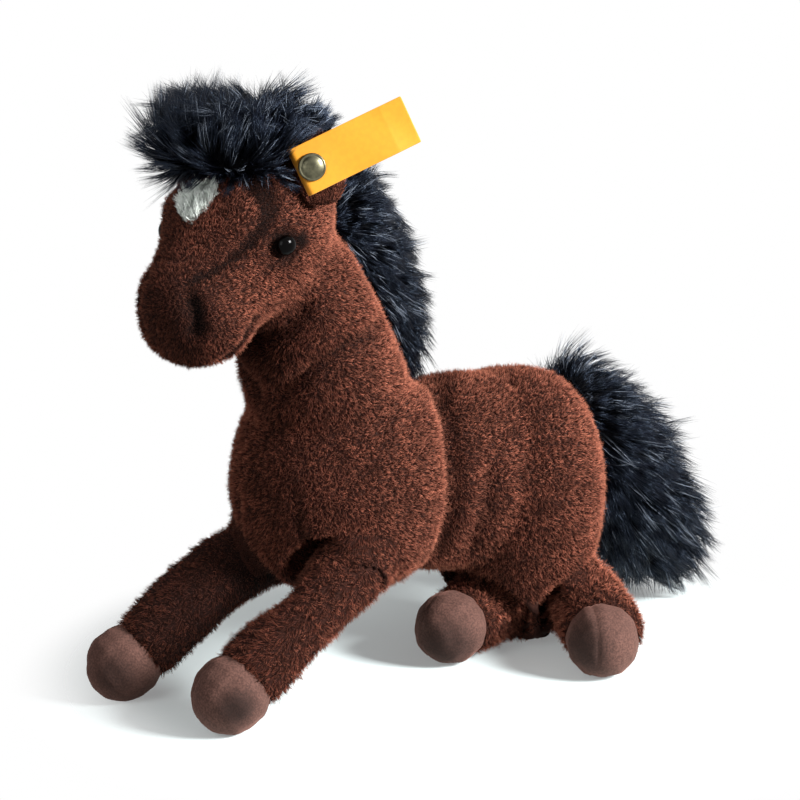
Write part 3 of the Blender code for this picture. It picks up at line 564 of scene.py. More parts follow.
def strand_mesh(name, path, width, flat, marks, rng):
    """One mesh of strands, with the bake's map and the pile's marks."""
    strands, stations, _ = path.shape
    steps = stations - 1
    run = unit(np.gradient(path, axis=1))
    turn = rng.uniform(0, 2 * math.pi, strands)
    side = unit(np.cross(run, np.where(np.abs(run[..., 2:]) < 0.9, (0, 0, 1.0), (1.0, 0, 0))))
    other = np.cross(run, side)
    taper = 1 - TAPER_SHARE * (np.arange(steps) / steps) ** TAPER_POWER
    corners = []
    for corner in range(3):
        angle = turn + corner * 2 * math.pi / 3
        out = side * np.cos(angle)[:, None, None] + other * np.sin(angle)[:, None, None]
        corners.append(path[:, :-1] + out[:, :-1] * (width[:, None] * taper)[..., None] / 2)
    rings = np.stack(corners, axis=2).reshape(strands, steps * 3, 3)
    points = np.concatenate([rings, path[:, -1:]], axis=1)
    points[..., 2] = np.maximum(points[..., 2], FLOOR_GAP)
    each = steps * 3 + 1
    quads = []
    for ring in range(steps - 1):
        for corner in range(3):
            after = (corner + 1) % 3
            low, high = ring * 3, ring * 3 + 3
            quads.append((low + corner, low + after, high + after, high + corner))
    last = (steps - 1) * 3
    ends = [(last + corner, last + (corner + 1) % 3, last + 3) for corner in range(3)]
    ends.append((2, 1, 0))
    loops = np.array([i for face in quads + ends for i in face])
    sizes = np.array([4] * len(quads) + [3] * len(ends))
    first = np.arange(strands)[:, None] * each
    mesh = bpy.data.meshes.new(name)
    mesh.vertices.add(strands * each)
    mesh.vertices.foreach_set("co", points.astype(np.float32).ravel())
    mesh.loops.add(strands * len(loops))
    corners = (first + loops).ravel()
    mesh.loops.foreach_set("vertex_index", corners)
    mesh.polygons.add(strands * len(sizes))
    totals = np.tile(sizes, strands)
    mesh.polygons.foreach_set("loop_start", np.concatenate([[0], np.cumsum(totals)[:-1]]))
    mesh.polygons.foreach_set("loop_total", totals)
    mesh.update(calc_edges=True)
    mesh.polygons.foreach_set("use_smooth", np.ones(len(mesh.polygons), bool))
    along = np.concatenate([np.repeat(np.arange(steps) / steps, 3), [1.0]])
    colour = np.ones((strands, each, 4), np.float32)
    colour[..., 0] = along
    colour[..., 1] = marks[:, :1]
    colour[..., 2] = marks[:, 1:2]
    set_marks(mesh, colour)
    around = np.concatenate([np.tile(np.arange(3) / 2, steps), [0.5]])
    spot = np.stack([around, along], axis=1) * BAKE_SPOT
    spread = np.clip(flat, *BAKE_EDGE)[:, None, :] + spot
    layer = mesh.uv_layers.new(name=UV_MAP)
    layer.data.foreach_set("uv", spread.reshape(-1, 2)[corners].astype(np.float32).ravel())
    return add_object(name, mesh)


def set_marks(mesh, colour):
    """Keeps the pile's marks on a mesh, as a colour at each point."""
    mesh.attributes.new(PILE, "FLOAT_COLOR", "POINT").data.foreach_set("color", colour.ravel())


def mark_skin(skin, shade, patch=None):
    """Marks where the cloth of a skin is darkened by airbrush or painted shade, and where it is the pale
    patch.
    """
    points = points_of(skin.data)
    colour = np.zeros((len(points), 4), np.float32)
    colour[:, 1] = patch(points) if patch else 0
    colour[:, 2] = shade(points)
    set_marks(skin.data, colour)


def grow(name, skin, coat, flow, seed, shade=None, hidden=(), where=None, clear_of=(), trim=None):
    """Pile grown on a skin and combed along flow, in one object or more.

    shade darkens and shortens strands, where and hidden say which roots grow, clear_of names what strands
    keep away from, and trim gives the length that each strand keeps.
    """
    rng = np.random.default_rng(seed)
    root, normal, flat = scatter(skin, coat.density, rng)
    if where:
        root, normal, flat = rows(where(root), root, normal, flat)
    root, normal, flat = rows(~buried(root, hidden, coat.length * BURIED_SHARE), root, normal, flat)
    root, normal, flat = rows(~enclosed(root, normal, hidden, ENCLOSED_REACH), root, normal, flat)
    count = len(root)
    comb = flow(root) if callable(flow) else np.broadcast_to(np.asarray(flow, float), root.shape)
    comb = unit(comb - normal * (comb * normal).sum(axis=1, keepdims=True))
    heading = normal * coat.stand + comb * (1 - coat.stand)
    heading += waves(root, coat.ruffle_size, seed + 1) * coat.ruffle + rng.normal(0, coat.stray, root.shape)
    heading = unit(heading)
    rise = (heading * normal).sum(axis=1)
    heading = unit(heading + normal * np.maximum(0, LEAST_RISE - rise)[:, None])
    lengths = rng.uniform(*LENGTH_SHARES, count) + waves(root, coat.clump, seed + 2)[:, 0] * coat.uneven
    length = coat.length * lengths
    if trim:
        length = trim(root, heading, length)
    shades = shade(root) if shade else np.zeros(count)
    length = length * (1 - SHADED_CUT_SHARE * shades)
    tip = root + heading * length[:, None]
    tip, tuft = gathered(root, tip, coat.clump, coat.pull, coat.tuft, rng)
    share = np.linspace(0, 1, coat.steps + 1)[None, :, None]
    bow = normal * (length * coat.bow)[:, None]
    path = root[:, None] + (tip - root)[:, None] * share + bow[:, None] * share * (1 - share)
    marks = np.stack([rng.random(count) * (1 - TUFT_TONE_SHARE) + tuft * TUFT_TONE_SHARE, shades], axis=1)
    widths = coat.width * rng.uniform(*WIDTH_SHARES, count)
    kept = beside_tag(path) if clear_of else np.ones(count, bool)
    kept[kept] = far_from(path[kept], clear_of, CLEAR_OF_TRIM)
    return strand_meshes(name, *rows(kept, path, widths, flat, marks), rng)


# Materials

GRAIN = "Grain"
SPECKLE = 4.5
# The dark colour of the airbrush on the face, and of the painted shade in creases, folds and hollows and on
# sides that face away from the light.
AIRBRUSH_AND_PAINTED_SHADE = (0.035, 0.018, 0.016)
BLACK = ("Color", (0, 0, 0, 1))


class Finish:
    """One material and what adds nodes to it."""

    def __init__(self, name):
        self.material = bpy.data.materials.new(name)
        self.material.use_nodes = True
        self.tree = self.material.node_tree
        self.shader = self.tree.nodes["Principled BSDF"]

    def add(self, kind, **values):
        """A node, with its settings and the values of its inputs, whose names have _ for a space."""
        node = self.tree.nodes.new("ShaderNode" + kind)
        for key, value in values.items():
            if hasattr(node, key):
                setattr(node, key, value)
            else:
                node.inputs[key.replace("_", " ")].default_value = value
        return node

    def link(self, start, end):
        """Joins an output to an input."""
        self.tree.links.new(start, end)

    def use(self, group, **values):
        """A node that uses a shader group, with the values of its inputs, whose names have _ for a space."""
        node = self.add("Group", node_tree=group)
        for key, value in values.items():
            node.inputs[key.replace("_", " ")].default_value = value
        return node.outputs

    def grain(self, scale, detail, first, second):
        """A grain's outputs: its colour, which runs between two colours, and its height."""
        return self.use(grain_group(), Scale=scale, Detail=detail, First=first, Second=second)

    def paint(self, colour):
        """Links the shader's colour."""
        self.link(colour, self.shader.inputs["Base Color"])

    def bump(self, height, strength, distance):
        """Raises the surface by a height."""
        bump = self.add("Bump", Strength=strength, Distance=distance)
        self.link(height, bump.inputs["Height"])
        self.link(bump.outputs["Normal"], self.shader.inputs["Normal"])

    def set(self, **values):
        """The shader's own values."""
        for key, value in values.items():
            self.shader.inputs[key.replace("_", " ")].default_value = value

    def wear(self, obj):
        """Puts the material on an object."""
        obj.data.materials.clear()
        obj.data.materials.append(self.material)


def linear(colour, share=1.0):
    """A colour written as it looks, or a share of it, as the shader's linear values."""
    shown = [min(1.0, c * share) for c in colour]
    return tuple(c / 12.92 if c <= 0.04045 else ((c + 0.055) / 1.055) ** 2.4 for c in shown) + (1.0,)


def new_group(name, inputs, outputs):
    """A shader node group with named sockets: {name: (socket kind, default)}."""
    group = bpy.data.node_groups.new(name, "ShaderNodeTree")
    for title, (kind, default) in inputs.items():
        socket = group.interface.new_socket(title, in_out="INPUT", socket_type="NodeSocket" + kind)
        socket.default_value = default
    for title, kind in outputs.items():
        group.interface.new_socket(title, in_out="OUTPUT", socket_type="NodeSocket" + kind)
    return group, group.nodes.new("NodeGroupInput"), group.nodes.new("NodeGroupOutput")


def grain_group():
    """The shader group of every grain: a noise on Object coordinates, and two colours mixed by it."""
    if GRAIN in bpy.data.node_groups:
        return bpy.data.node_groups[GRAIN]
    inputs = {"Scale": ("Float", 900.0), "Detail": ("Float", 2.0), "First": BLACK, "Second": BLACK}
    tree, given, out = new_group(GRAIN, inputs, {"Color": "Color", "Height": "Float"})
    height = noise(tree, given.outputs["Scale"], given.outputs["Detail"])
    colour = mixed(tree, "MIX", height, given.outputs["First"], given.outputs["Second"])
    tree.links.new(colour, out.inputs["Color"])
    tree.links.new(height, out.inputs["Height"])
    return tree


def fill_socket(tree, socket, value):
    """Gives an input its value, or links it."""
    if isinstance(value, (float, int, tuple)):
        socket.default_value = value
    else:
        tree.links.new(value, socket)


def noise(tree, scale, detail):
    """A noise on Object coordinates."""
    place = tree.nodes.new("ShaderNodeTexCoord")
    node = tree.nodes.new("ShaderNodeTexNoise")
    for title, value in (("Vector", place.outputs["Object"]), ("Scale", scale), ("Detail", detail)):
        fill_socket(tree, node.inputs[title], value)
    return node.outputs["Fac"]


def pile_marks(tree):
    """The three marks that strands and skins keep: up the strand or nothing, tone or patch, and shade."""
    mark = tree.nodes.new("ShaderNodeAttribute")
    mark.attribute_name = PILE
    apart = tree.nodes.new("ShaderNodeSeparateColor")
    tree.links.new(mark.outputs["Color"], apart.inputs["Color"])
    return apart.outputs


def mixed(tree, kind, factor, first, second):
    """A colour mix of two sockets, which factor drives."""
    node = tree.nodes.new("ShaderNodeMix")
    node.data_type = "RGBA"
    node.blend_type = kind
    for socket, value in ((node.inputs[0], factor), (node.inputs[6], first), (node.inputs[7], second)):
        fill_socket(tree, socket, value)
    return node.outputs[2]


def calculated(tree, operation, *values):
    """A number worked out from sockets and values."""
    node = tree.nodes.new("ShaderNodeMath")
    node.operation = operation
    for socket, value in zip(node.inputs, values):
        fill_socket(tree, socket, value)
    return node.outputs[0]


def ranged(tree, value, low, high, start=0.0, end=1.0):
    """A value read between low and high as a smooth value between start and end."""
    node = tree.nodes.new("ShaderNodeMapRange")
    node.interpolation_type = "SMOOTHSTEP"
    tree.links.new(value, node.inputs["Value"])
    for title, number in (("From Min", low), ("From Max", high), ("To Min", start), ("To Max", end)):
        node.inputs[title].default_value = number
    return node.outputs["Result"]


def strand_tint_group():
    """The colour of a strand from root to tip, with its own lighter or darker tone, a mottle, a painted
    highlight that turns a share of strands pale toward their tips, and a shade.
    """
    colours = dict.fromkeys(("Root", "Middle", "Tip", "Glint", "Shade"), BLACK)
    numbers = {"Glint Share": ("Float", 0.0), "Mottle": ("Float", 0.3), "Mottle Scale": ("Float", 150.0)}
    tree, given, out = new_group("Strand tint", {**colours, **numbers}, {"Color": "Color"})
    along, tone, shade = pile_marks(tree)[:3]
    low = mixed(tree, "MIX", ranged(tree, along, 0.0, 0.55), given.outputs["Root"], given.outputs["Middle"])
    high = mixed(tree, "MIX", ranged(tree, along, 0.45, 1.0), low, given.outputs["Tip"])
    scale = given.outputs["Mottle Scale"]
    layers = []
    for size, detail, reach in ((scale, 3.0, 0.7), (calculated(tree, "MULTIPLY", scale, SPECKLE), 2.0, 1.0)):
        layers.append(ranged(tree, noise(tree, size, detail), 0.35, 0.65, -reach, reach))
    patch = calculated(tree, "ADD", *layers)
    tone_part = calculated(tree, "MULTIPLY_ADD", tone, 2.0, -1.0)
    both = calculated(tree, "ADD", calculated(tree, "MULTIPLY", patch, 0.55), tone_part)
    gain = calculated(tree, "MULTIPLY_ADD", both, given.outputs["Mottle"], 1.0)
    grey = tree.nodes.new("ShaderNodeCombineColor")
    for socket in grey.inputs[:3]:
        tree.links.new(gain, socket)
    toned = mixed(tree, "MULTIPLY", 1.0, high, grey.outputs["Color"])
    # Painted highlight: strands whose tone is under the glint share turn toward the glint colour up to their
    # tips, for the glints of light on the hair.
    bright = calculated(tree, "LESS_THAN", tone, given.outputs["Glint Share"])
    glinting = mixed(tree, "MIX", calculated(tree, "MULTIPLY", bright, along), toned, given.outputs["Glint"])
    shaded = mixed(tree, "MIX", shade, glinting, given.outputs["Shade"])
    tree.links.new(shaded, out.inputs["Color"])
    return tree


def pile_finish(name, group, root, middle, tip, glint, shade, rough=0.85, sheen=0.1, specular=0.12, **tones):
    """The material of one kind of pile. tones are the other inputs of the strand tint."""
    finish = Finish(name)
    colours = {"Root": root, "Middle": middle, "Tip": tip, "Glint": glint, "Shade": shade}
    colours = {key: linear(colour) for key, colour in colours.items()}
    finish.paint(finish.use(group, **colours, **tones)["Color"])
    finish.set(Roughness=rough, Specular_IOR_Level=specular, Sheen_Weight=sheen, Sheen_Roughness=0.45,
               Sheen_Tint=linear(tip, 1.4))
    return finish


def backing_finish(name, colour, pale, dark):
    """Knitted backing cloth with a woolly grain, pale where the marks of a skin say so, and dark where they
    carry airbrush or painted shade.
    """
    finish = Finish(name)
    tree, marks = finish.tree, pile_marks(finish.tree)
    wool = finish.grain(900.0, 4.0, linear(colour, 0.6), linear(colour))
    tint = mixed(tree, "MIX", marks[1], wool["Color"], linear(pale))
    finish.paint(mixed(tree, "MIX", marks[2], tint, linear(dark)))
    finish.bump(wool["Height"], 0.6, 0.0004)
    finish.set(Roughness=0.95, Specular_IOR_Level=0.1)
    return finish


# Places taken from the CAD

LEVEL_CUT = 1e-5
END_SHARE = 0.97


def shaft_axis(outer, inner):
    """The direction from one round CAD node to another on the same shaft."""
    return unit(node_points(outer).mean(axis=0) - node_points(inner).mean(axis=0))


def crown(node, axis):
    """Where the top of a CAD node stands along an axis, and its widest distance from that axis."""
    points = node_points(node)
    heights = points @ axis
    top = points[heights > heights.max() - LEVEL_CUT].mean(axis=0)
    apart = points - top
    radius = np.linalg.norm(apart - np.outer(apart @ axis, axis), axis=1).max()
    return top, radius


def free_end(node, held):
    """The middle of the far end of a flat CAD node that is held at a place, and the end's points."""
    points = node_points(node)
    distance = from_place(points, held)
    end = points[distance > distance.max() * END_SHARE]
    return end.mean(axis=0), end


# The rivet, whose profile is in shares of its radius, and the tag, with how far hair stays off it.
RIVET_AXIS = joint_of("ear_tag")[1]
RIVET_PLACE, RIVET_RADIUS = crown("ear_button", RIVET_AXIS)
TAG_END, TAG_CORNERS = free_end("ear_tag", RIVET_PLACE)
RIVET_PROFILE = [(0, 0), (0.3, -0.02), (0.55, -0.07), (0.72, -0.14), (0.80, -0.20), (0.85, -0.20),
                 (0.91, -0.17), (0.97, -0.21), (1.0, -0.28), (0.97, -0.34), (0.9, -0.37), (0.0, -0.37)]
TAG_FOLD = -0.0027
TAG_BEND = 0.0015
TAG_TURN = math.radians(6.5)
TAG_DEPTH = 0.0025
TAG_ASIDE = 0.0080
TAG_BEHIND = 0.0052
TAG_GRID = (72, 16)
TAG_FREE = (0.005, 0.020)
TAG_LIFT = 0.0016
TAG_RIPPLE = 0.0006
TAG_WALL = 0.0004
TAG_ALONG = unit(TAG_END - RIVET_PLACE - RIVET_AXIS * ((TAG_END - RIVET_PLACE) @ RIVET_AXIS))
TAG_LIE = TAG_ALONG * math.cos(TAG_TURN) + np.cross(RIVET_AXIS, TAG_ALONG) * math.sin(TAG_TURN)

# The eyes, the frame of the face, and where hair spreads from. The back of an eye is in shares of its radius.
EYES = {side: middle("eye_" + side) for side in SIDES}
EYE_RISE = 0.72
EYE_BACK = [(0.96, -EYE_RISE - 0.2), (0.5, -EYE_RISE - 0.32), (0, -EYE_RISE - 0.32)]
EYE_MIDDLE = (EYES["left"] + EYES["right"]) / 2
FACE_SIDE = unit((EYES["left"] - EYES["right"]) * np.array((1, 1, 0)))
FACE_UP = np.array((0, 0, 1.0))
FACE_AHEAD = np.cross(FACE_UP, FACE_SIDE) * -1
MANE_FOCUS = np.array((-0.056, 0.0136, 0.144))
TAIL_FOCUS = np.array((0.045, 0.0136, 0.063))
FORELOCK_FOCUS = np.array((-0.080, -0.0035, 0.166))


# Lines and places on the face: ahead, aside and up from the middle between the eyes, on the horse's left.
NOSTRIL = [(0.0264, 0.0088, -0.0138), (0.0258, 0.0098, -0.0178), (0.0256, 0.0094, -0.0212)]
MOUTH = [(0.0087, 0.0166, -0.0211), (0.0103, 0.0163, -0.0226), (0.0119, 0.0157, -0.0245),
         (0.0134, 0.0146, -0.0264), (0.0146, 0.0133, -0.0282), (0.0161, 0.0112, -0.0302)]
FACE_SEAM = [(0.0020, 0.0112, 0.0176), (0.0020, 0.0148, 0.0141), (0.0025, 0.0174, 0.0095),
             (0.0053, 0.0172, 0.0052), (0.0103, 0.0148, -0.0002), (0.0152, 0.0124, -0.0038),
             (0.0195, 0.0106, -0.0060), (0.0234, 0.0087, -0.0076), (0.0261, 0.0072, -0.0091)]
JAW = [(-0.0152, -0.0005, -0.0325), (-0.0147, 0.0052, -0.0308), (-0.0157, 0.0093, -0.0287),
       (-0.0174, 0.0126, -0.0255), (-0.0179, 0.0145, -0.0215)]
NECK_CREASE = [(-0.0492, 0.0198, -0.0328), (-0.0393, 0.0208, -0.0332), (-0.0319, 0.0197, -0.0348),
               (-0.0265, 0.0173, -0.0379), (-0.0230, 0.0142, -0.0410), (-0.0211, 0.0100, -0.0455),
               (-0.0202, 0.0053, -0.0496)]
MUZZLE = (0.0290, 0.0, -0.0200)
HEAD_CORE = (0.0100, 0.0, -0.0120)
HEAD_DEPTH = 0.008

# The face's furrows and the head's folds: line, width and depth as pressed in, width and strength of shade.
# The shade is airbrush on the nostrils and the mouth, and painted shade along the face's seams, the jaw and
# the neck crease.
FACE_FURROWS = ((NOSTRIL, 0.0024, 0.0028, 0.0029, 1.0), (MOUTH, 0.0015, 0.0018, 0.0019, 1.0),
                (FACE_SEAM, 0.0026, 0.0016, 0.0024, 0.88))
HEAD_FOLDS = ((JAW, 0.0030, 0.0022, 0.0035, 0.45), (NECK_CREASE, 0.0034, 0.0030, 0.0028, 0.6))

# Where the face is fuller: place, radius, lift.
FACE_SWELLS = (((0.0140, 0.0120, -0.0255), 0.0085, 0.0021), ((0.0140, -0.0120, -0.0255), 0.0085, 0.0021),
               (MUZZLE, 0.0140, 0.0016), ((0.0040, -0.0175, 0.0080), 0.0085, 0.0024),
               ((0.0040, 0.0175, 0.0120), 0.0085, 0.0006))

# Where the face is darkened: at the corners of the eyes, airbrush and painted shade on the muzzle, and
# painted shade on the front of the face, which faces away from the light: place, radius, strength.
FACE_SHADES = (((-0.0058, 0.0226, 0.0006), 0.0029, 0.95), ((-0.0058, -0.0226, 0.0006), 0.0029, 0.95),
               (MUZZLE, 0.0150, 0.45), ((0.0230, -0.0020, -0.0060), 0.0090, 0.4),
               ((0.0130, -0.0060, 0.0020), 0.0100, 0.4))
EYE_SHADE = (0.0056, 0.95)
EYE_SOCKET = (0.0055, -0.0008)

# The blaze's rim, aside and up, and the brow that the forelock leaves free.
BLAZE_OUTLINE = [(0.0021, 0.0179), (0.0042, 0.0155), (0.0045, 0.0126), (0.0018, 0.0084),
                 (-0.0020, 0.0060), (-0.0059, 0.0079), (-0.0080, 0.0095), (-0.0092, 0.0123),
                 (-0.0070, 0.0144), (-0.0027, 0.0168)]
BLAZE_RAGGED = (0.0020, 0.0008)
BROW_HEIGHT = 0.0190
BROW_MIDDLE = 0.0040
BROW_REACH = 0.0180
BROW_AHEAD = -0.004
FORELOCK_ASIDE = (0.008, 0.014)
FORELOCK_CUT_SHARE = 0.6
FORELOCK_LEAST_SHARE = 0.05

# The lie of the pile, and how long and strong the waves in it are.
HEAD_LIE_UP = 0.3
HEAD_LIE_ASIDE = 0.2
TRUNK_LIE = np.array((0.55, 0, -0.8))
TRUNK_WAVES = (0.03, 0.7)
LEG_WAVES = (0.012, 0.9)

# Seams and folds of the trunk in the part's frame, with the same four sizes, and its fine unevenness. Their
# shade is painted shade in the creases.
CHEST_SEAMS = [[(-0.0721, 0.0151, 0.0657), (-0.0733, 0.0151, 0.0520)],
               [(-0.0663, -0.0070, 0.0696), (-0.0649, -0.0079, 0.0579), (-0.0612, -0.0080, 0.0460)]]
TRUNK_FOLDS = [[(0.0030, -0.0132, 0.0659), (0.0024, -0.0134, 0.0600), (0.0022, -0.0125, 0.0540),
                (0.0010, -0.0106, 0.0492), (0.0014, -0.0059, 0.0410)],
               [(0.0006, 0.0126, 0.0928), (-0.0079, -0.0026, 0.0853), (-0.0099, -0.0086, 0.0757),
                (-0.0096, -0.0115, 0.0629), (-0.0109, -0.0102, 0.0530), (-0.0103, -0.0045, 0.0416)]]
TRUNK_LINES = ((CHEST_SEAMS, 0.0016, 0.0012, 0.0016, 0.5), (TRUNK_FOLDS, 0.0045, 0.0024, 0.0040, 0.45))
LUMPS = (0.011, 0.0004)

# How the haunch is tucked under: its lift, up to what height and how evenly, and between what sides.
HAUNCH_TUCK = 0.0048
HAUNCH_TUCK_HEIGHT = 0.020
HAUNCH_TUCK_EASE = 0.6
HAUNCH_SIDES = (0.006, 0.024)

# Hollows and swells of the legs in the part's frame: place, radius, lift.
LEG_SWELLS = (((-0.0700, -0.0040, 0.0400), 0.0090, -0.0045), ((-0.0788, -0.0045, 0.0355), 0.0100, -0.0015),
              ((-0.0544, -0.0172, 0.0261), 0.0110, -0.0020), ((-0.0670, -0.0177, 0.0179), 0.0110, -0.0020),
              ((-0.0665, 0.0198, 0.0245), 0.0100, -0.0026), ((-0.0730, 0.0210, 0.0215), 0.0100, -0.0018),
              ((-0.0829, 0.0230, 0.0149), 0.0100, -0.0020), ((-0.0750, 0.0318, 0.0459), 0.0100, 0.0015),
              ((-0.0898, 0.0349, 0.0361), 0.0100, 0.0013), ((0.0477, -0.0337, 0.0130), 0.0100, 0.0030))

# Painted shade in the hollow between the fore legs and on the far fore leg, where the chest and the near leg
# keep the light off: place, radius, strength.
HOLLOWS = (((-0.0660, 0.0100, 0.0450), 0.0200, 0.85), ((-0.0850, 0.0180, 0.0300), 0.0260, 0.5))

# The dark patch on each hoof, partly the toy's airbrush and partly painted shade on the side away from the
# light: place from the hoof's middle, radius, strength.
HOOF_PATCHES = {"front_leg_left": ((-0.0043, -0.0109, -0.0008), 0.0062, 0.8),
                "front_leg_right": ((-0.0079, -0.0084, -0.0010), 0.0062, 0.6),
                "hind_leg_left": ((-0.0112, -0.0030, 0.0000), 0.0095, 0.75),
                "hind_leg_right": ((-0.0075, -0.0085, -0.0050), 0.0105, 0.75)}
HOOF_SEAM_ASIDE = 0.0035
HOOF_SEAM = (0.0005, 0.00045)
HOOF_NAP = (0.0007, 0.00007)
HOOF_LUMPS = (0.006, 0.00035)


def swell(points, normals, away, radius, lift, edge=2):
    """Points raised by lift where away is nothing, and less and less as it nears radius."""
    return points + normals * (lift * np.exp(-(away / radius) ** edge))[:, None]


def swell_legs(skin):
    """Hollows the sides of the legs, fills them out where they swell, and keeps them off the floor."""
    points, normals = points_of(skin.data), normals_of(skin.data)
    for place, radius, lift in LEG_SWELLS:
        points = swell(points, normals, from_place(points, place), radius, lift)
    points[:, 2] = np.maximum(points[:, 2], FLOOR_GAP)
    set_points(skin.data, points)


def on_face(ahead, aside, up):
    """A place given from the middle between the eyes: ahead, aside to the horse's left, and up."""
    return EYE_MIDDLE + FACE_AHEAD * ahead + FACE_SIDE * aside + FACE_UP * up


def face_frame(points):
    """How far points lie ahead, aside and up from the middle between the eyes."""
    apart = points - EYE_MIDDLE
    return apart @ FACE_AHEAD, apart @ FACE_SIDE, apart @ FACE_UP


def face_lines(line):
    """A line of places on the face, and its mirror."""
    return [[on_face(a, s * b, c) for a, b, c in line] for s in (1, -1)]


def beside_line(points, line):
    """Distance from each point to a line on the face, as seen from inside the head.

    Points that lie deep in the head count as far off.
    """
    core = on_face(*HEAD_CORE)
    line = np.array(line) - core
    reach = np.linalg.norm(line, axis=1).mean()
    away = from_line(unit(points - core) * reach, unit(line) * reach)
    return np.where(from_line(points, line + core) < HEAD_DEPTH, away, 1.0)


class Crease(NamedTuple):
    """A line that is pressed into a skin, and the shade along it. A higher edge makes the shade more even."""

    line: list
    width: float
    depth: float
    shade_width: float
    strength: float
    distance: object
    edge: int


def all_creases():
    """Every furrow, fold and seam, in the order in which they are pressed in."""
    for group, distance, edge in ((FACE_FURROWS, beside_line, 4), (HEAD_FOLDS, from_line, 2)):
        for path, *sizes in group:
            for line in face_lines(path):
                yield Crease(line, *sizes, distance, edge)
    for paths, *sizes in TRUNK_LINES:
        for line in paths:
            yield Crease(line, *sizes, from_line, 2)


def sculpt(skin):
    """Presses the face's seams, nostrils, mouth and folds into a skin, and fills out the lips."""
    points, normals = points_of(skin.data), normals_of(skin.data)
    for place, radius, lift in FACE_SWELLS:
        points = swell(points, normals, from_place(points, on_face(*place)), radius, lift)
    for crease in all_creases():
        points = swell(points, normals, crease.distance(points, crease.line), crease.width, -crease.depth)
    for side in SIDES:
        points = swell(points, normals, from_place(points, EYES[side]), *EYE_SOCKET, edge=4)
    size, lift = LUMPS
    points = points + normals * (waves(points, size, 9)[:, :1] * lift)
    near, far = HAUNCH_SIDES
    low = np.clip(1 - points[:, 2] / HAUNCH_TUCK_HEIGHT, 0, 1) ** HAUNCH_TUCK_EASE
    side = np.clip((far - points[:, 1]) / (far - near), 0, 1)
    points[:, 2] += HAUNCH_TUCK * low * side * (points[:, 0] > 0)
    set_points(skin.data, points)


def within(across, up, outline):
    """How far points lie inside a convex outline, less than nothing outside it."""
    outline = np.array(outline)
    best = np.full(len(across), np.inf)
    for start, end in zip(outline, np.roll(outline, -1, axis=0)):
        run = end - start
        inward = np.array((run[1], -run[0])) / np.linalg.norm(run)
        best = np.minimum(best, (across - start[0]) * inward[0] + (up - start[1]) * inward[1])
    return best


def soft_spots(points, spots):
    """A shade from 0 to 1 around spots: [(place, radius, strength)]."""
    total = np.zeros(len(points))
    for place, radius, strength in spots:
        total = np.maximum(total, strength * np.exp(-(from_place(points, place) / radius) ** 4))
    return total


def airbrush_and_painted_shade(points):
    """The darkening from 0 to 1 of the pile: round the eyes, airbrush on the nostrils and mouth, airbrush and
    painted shade on the muzzle, and painted shade on the front of the face and in seams and folds.
    """
    spots = [(EYES[side], *EYE_SHADE) for side in SIDES]
    spots += [(on_face(*place), radius, strength) for place, radius, strength in FACE_SHADES]
    total = soft_spots(points, spots)
    for crease in all_creases():
        away = crease.distance(points, crease.line) / crease.shade_width
        total = np.maximum(total, crease.strength * np.exp(-away**crease.edge))
    return total


def hollow_shade(points):
    """The painted shade from 0 to 1 of the pile in the hollow between the fore legs and on the far fore leg.
    """
    return soft_spots(points, HOLLOWS)


def head_flow(points):
    """The lie of the pile on the head: back from the muzzle, and down the cheeks."""
    _, aside, up = face_frame(points)
    upwards, sidewards = np.sign(up)[:, None], np.sign(aside)[:, None]
    return -FACE_AHEAD + FACE_UP * HEAD_LIE_UP * upwards + FACE_SIDE * HEAD_LIE_ASIDE * sidewards


def trunk_flow(points):
    """The lie of the pile on the trunk: down and to the rear."""
    size, strength = TRUNK_WAVES
    return TRUNK_LIE + waves(points, size, 11) * strength


def leg_flow(leg):
    """The lie of the pile on one leg, down to its hoof."""
    run = middle(leg.replace("leg", "hoof")) - middle(leg)
    size, strength = LEG_WAVES
    return lambda points: unit(run) + waves(points, size, 12) * strength


def trim_forelock(root, heading, length):
    """The length that each hair of the forelock keeps: short beside the left ear, and none over the brow."""
    aside = (root - FORELOCK_FOCUS) @ unit(TAG_LIE * np.array((1, 1, 0)))
    start, reach = FORELOCK_ASIDE
    length = length * (1 - FORELOCK_CUT_SHARE * np.clip((aside - start) / reach, 0, 1))
    ahead, across, up = face_frame(root + heading * length[:, None])
    over = (ahead > BROW_AHEAD) & (np.abs(across - BROW_MIDDLE) < BROW_REACH) & (up < BROW_HEIGHT)
    height = root @ FACE_UP - EYE_MIDDLE @ FACE_UP
    kept = np.clip((height - BROW_HEIGHT) / np.maximum(height - up, 1e-6), FORELOCK_LEAST_SHARE, 1)
    return np.where(over, length * kept, length)


def radiating(focus, droop):
    """Hair that spreads from a focus and droops by a share."""
    return lambda points: unit(points - focus) - np.array((0, 0, droop))


# Settings

def measure(name, description, default, **kind):
    """A share, strength or other measure."""
    return FloatProperty(name=name, description=description, default=default, min=0.0, **kind)


def length(name, description, default):
    """A size that a user would change."""
    return measure(name, description, default, unit="LENGTH", precision=4)


def power(name, description, default):
    """The power of a lamp."""
    return measure(name, description, default, unit="POWER")


def tint(name, description, default):
    """A colour, written as it looks."""
    return FloatVectorProperty(name=name, description=description, default=default, size=3, min=0, max=1,
                               subtype="COLOR_GAMMA")


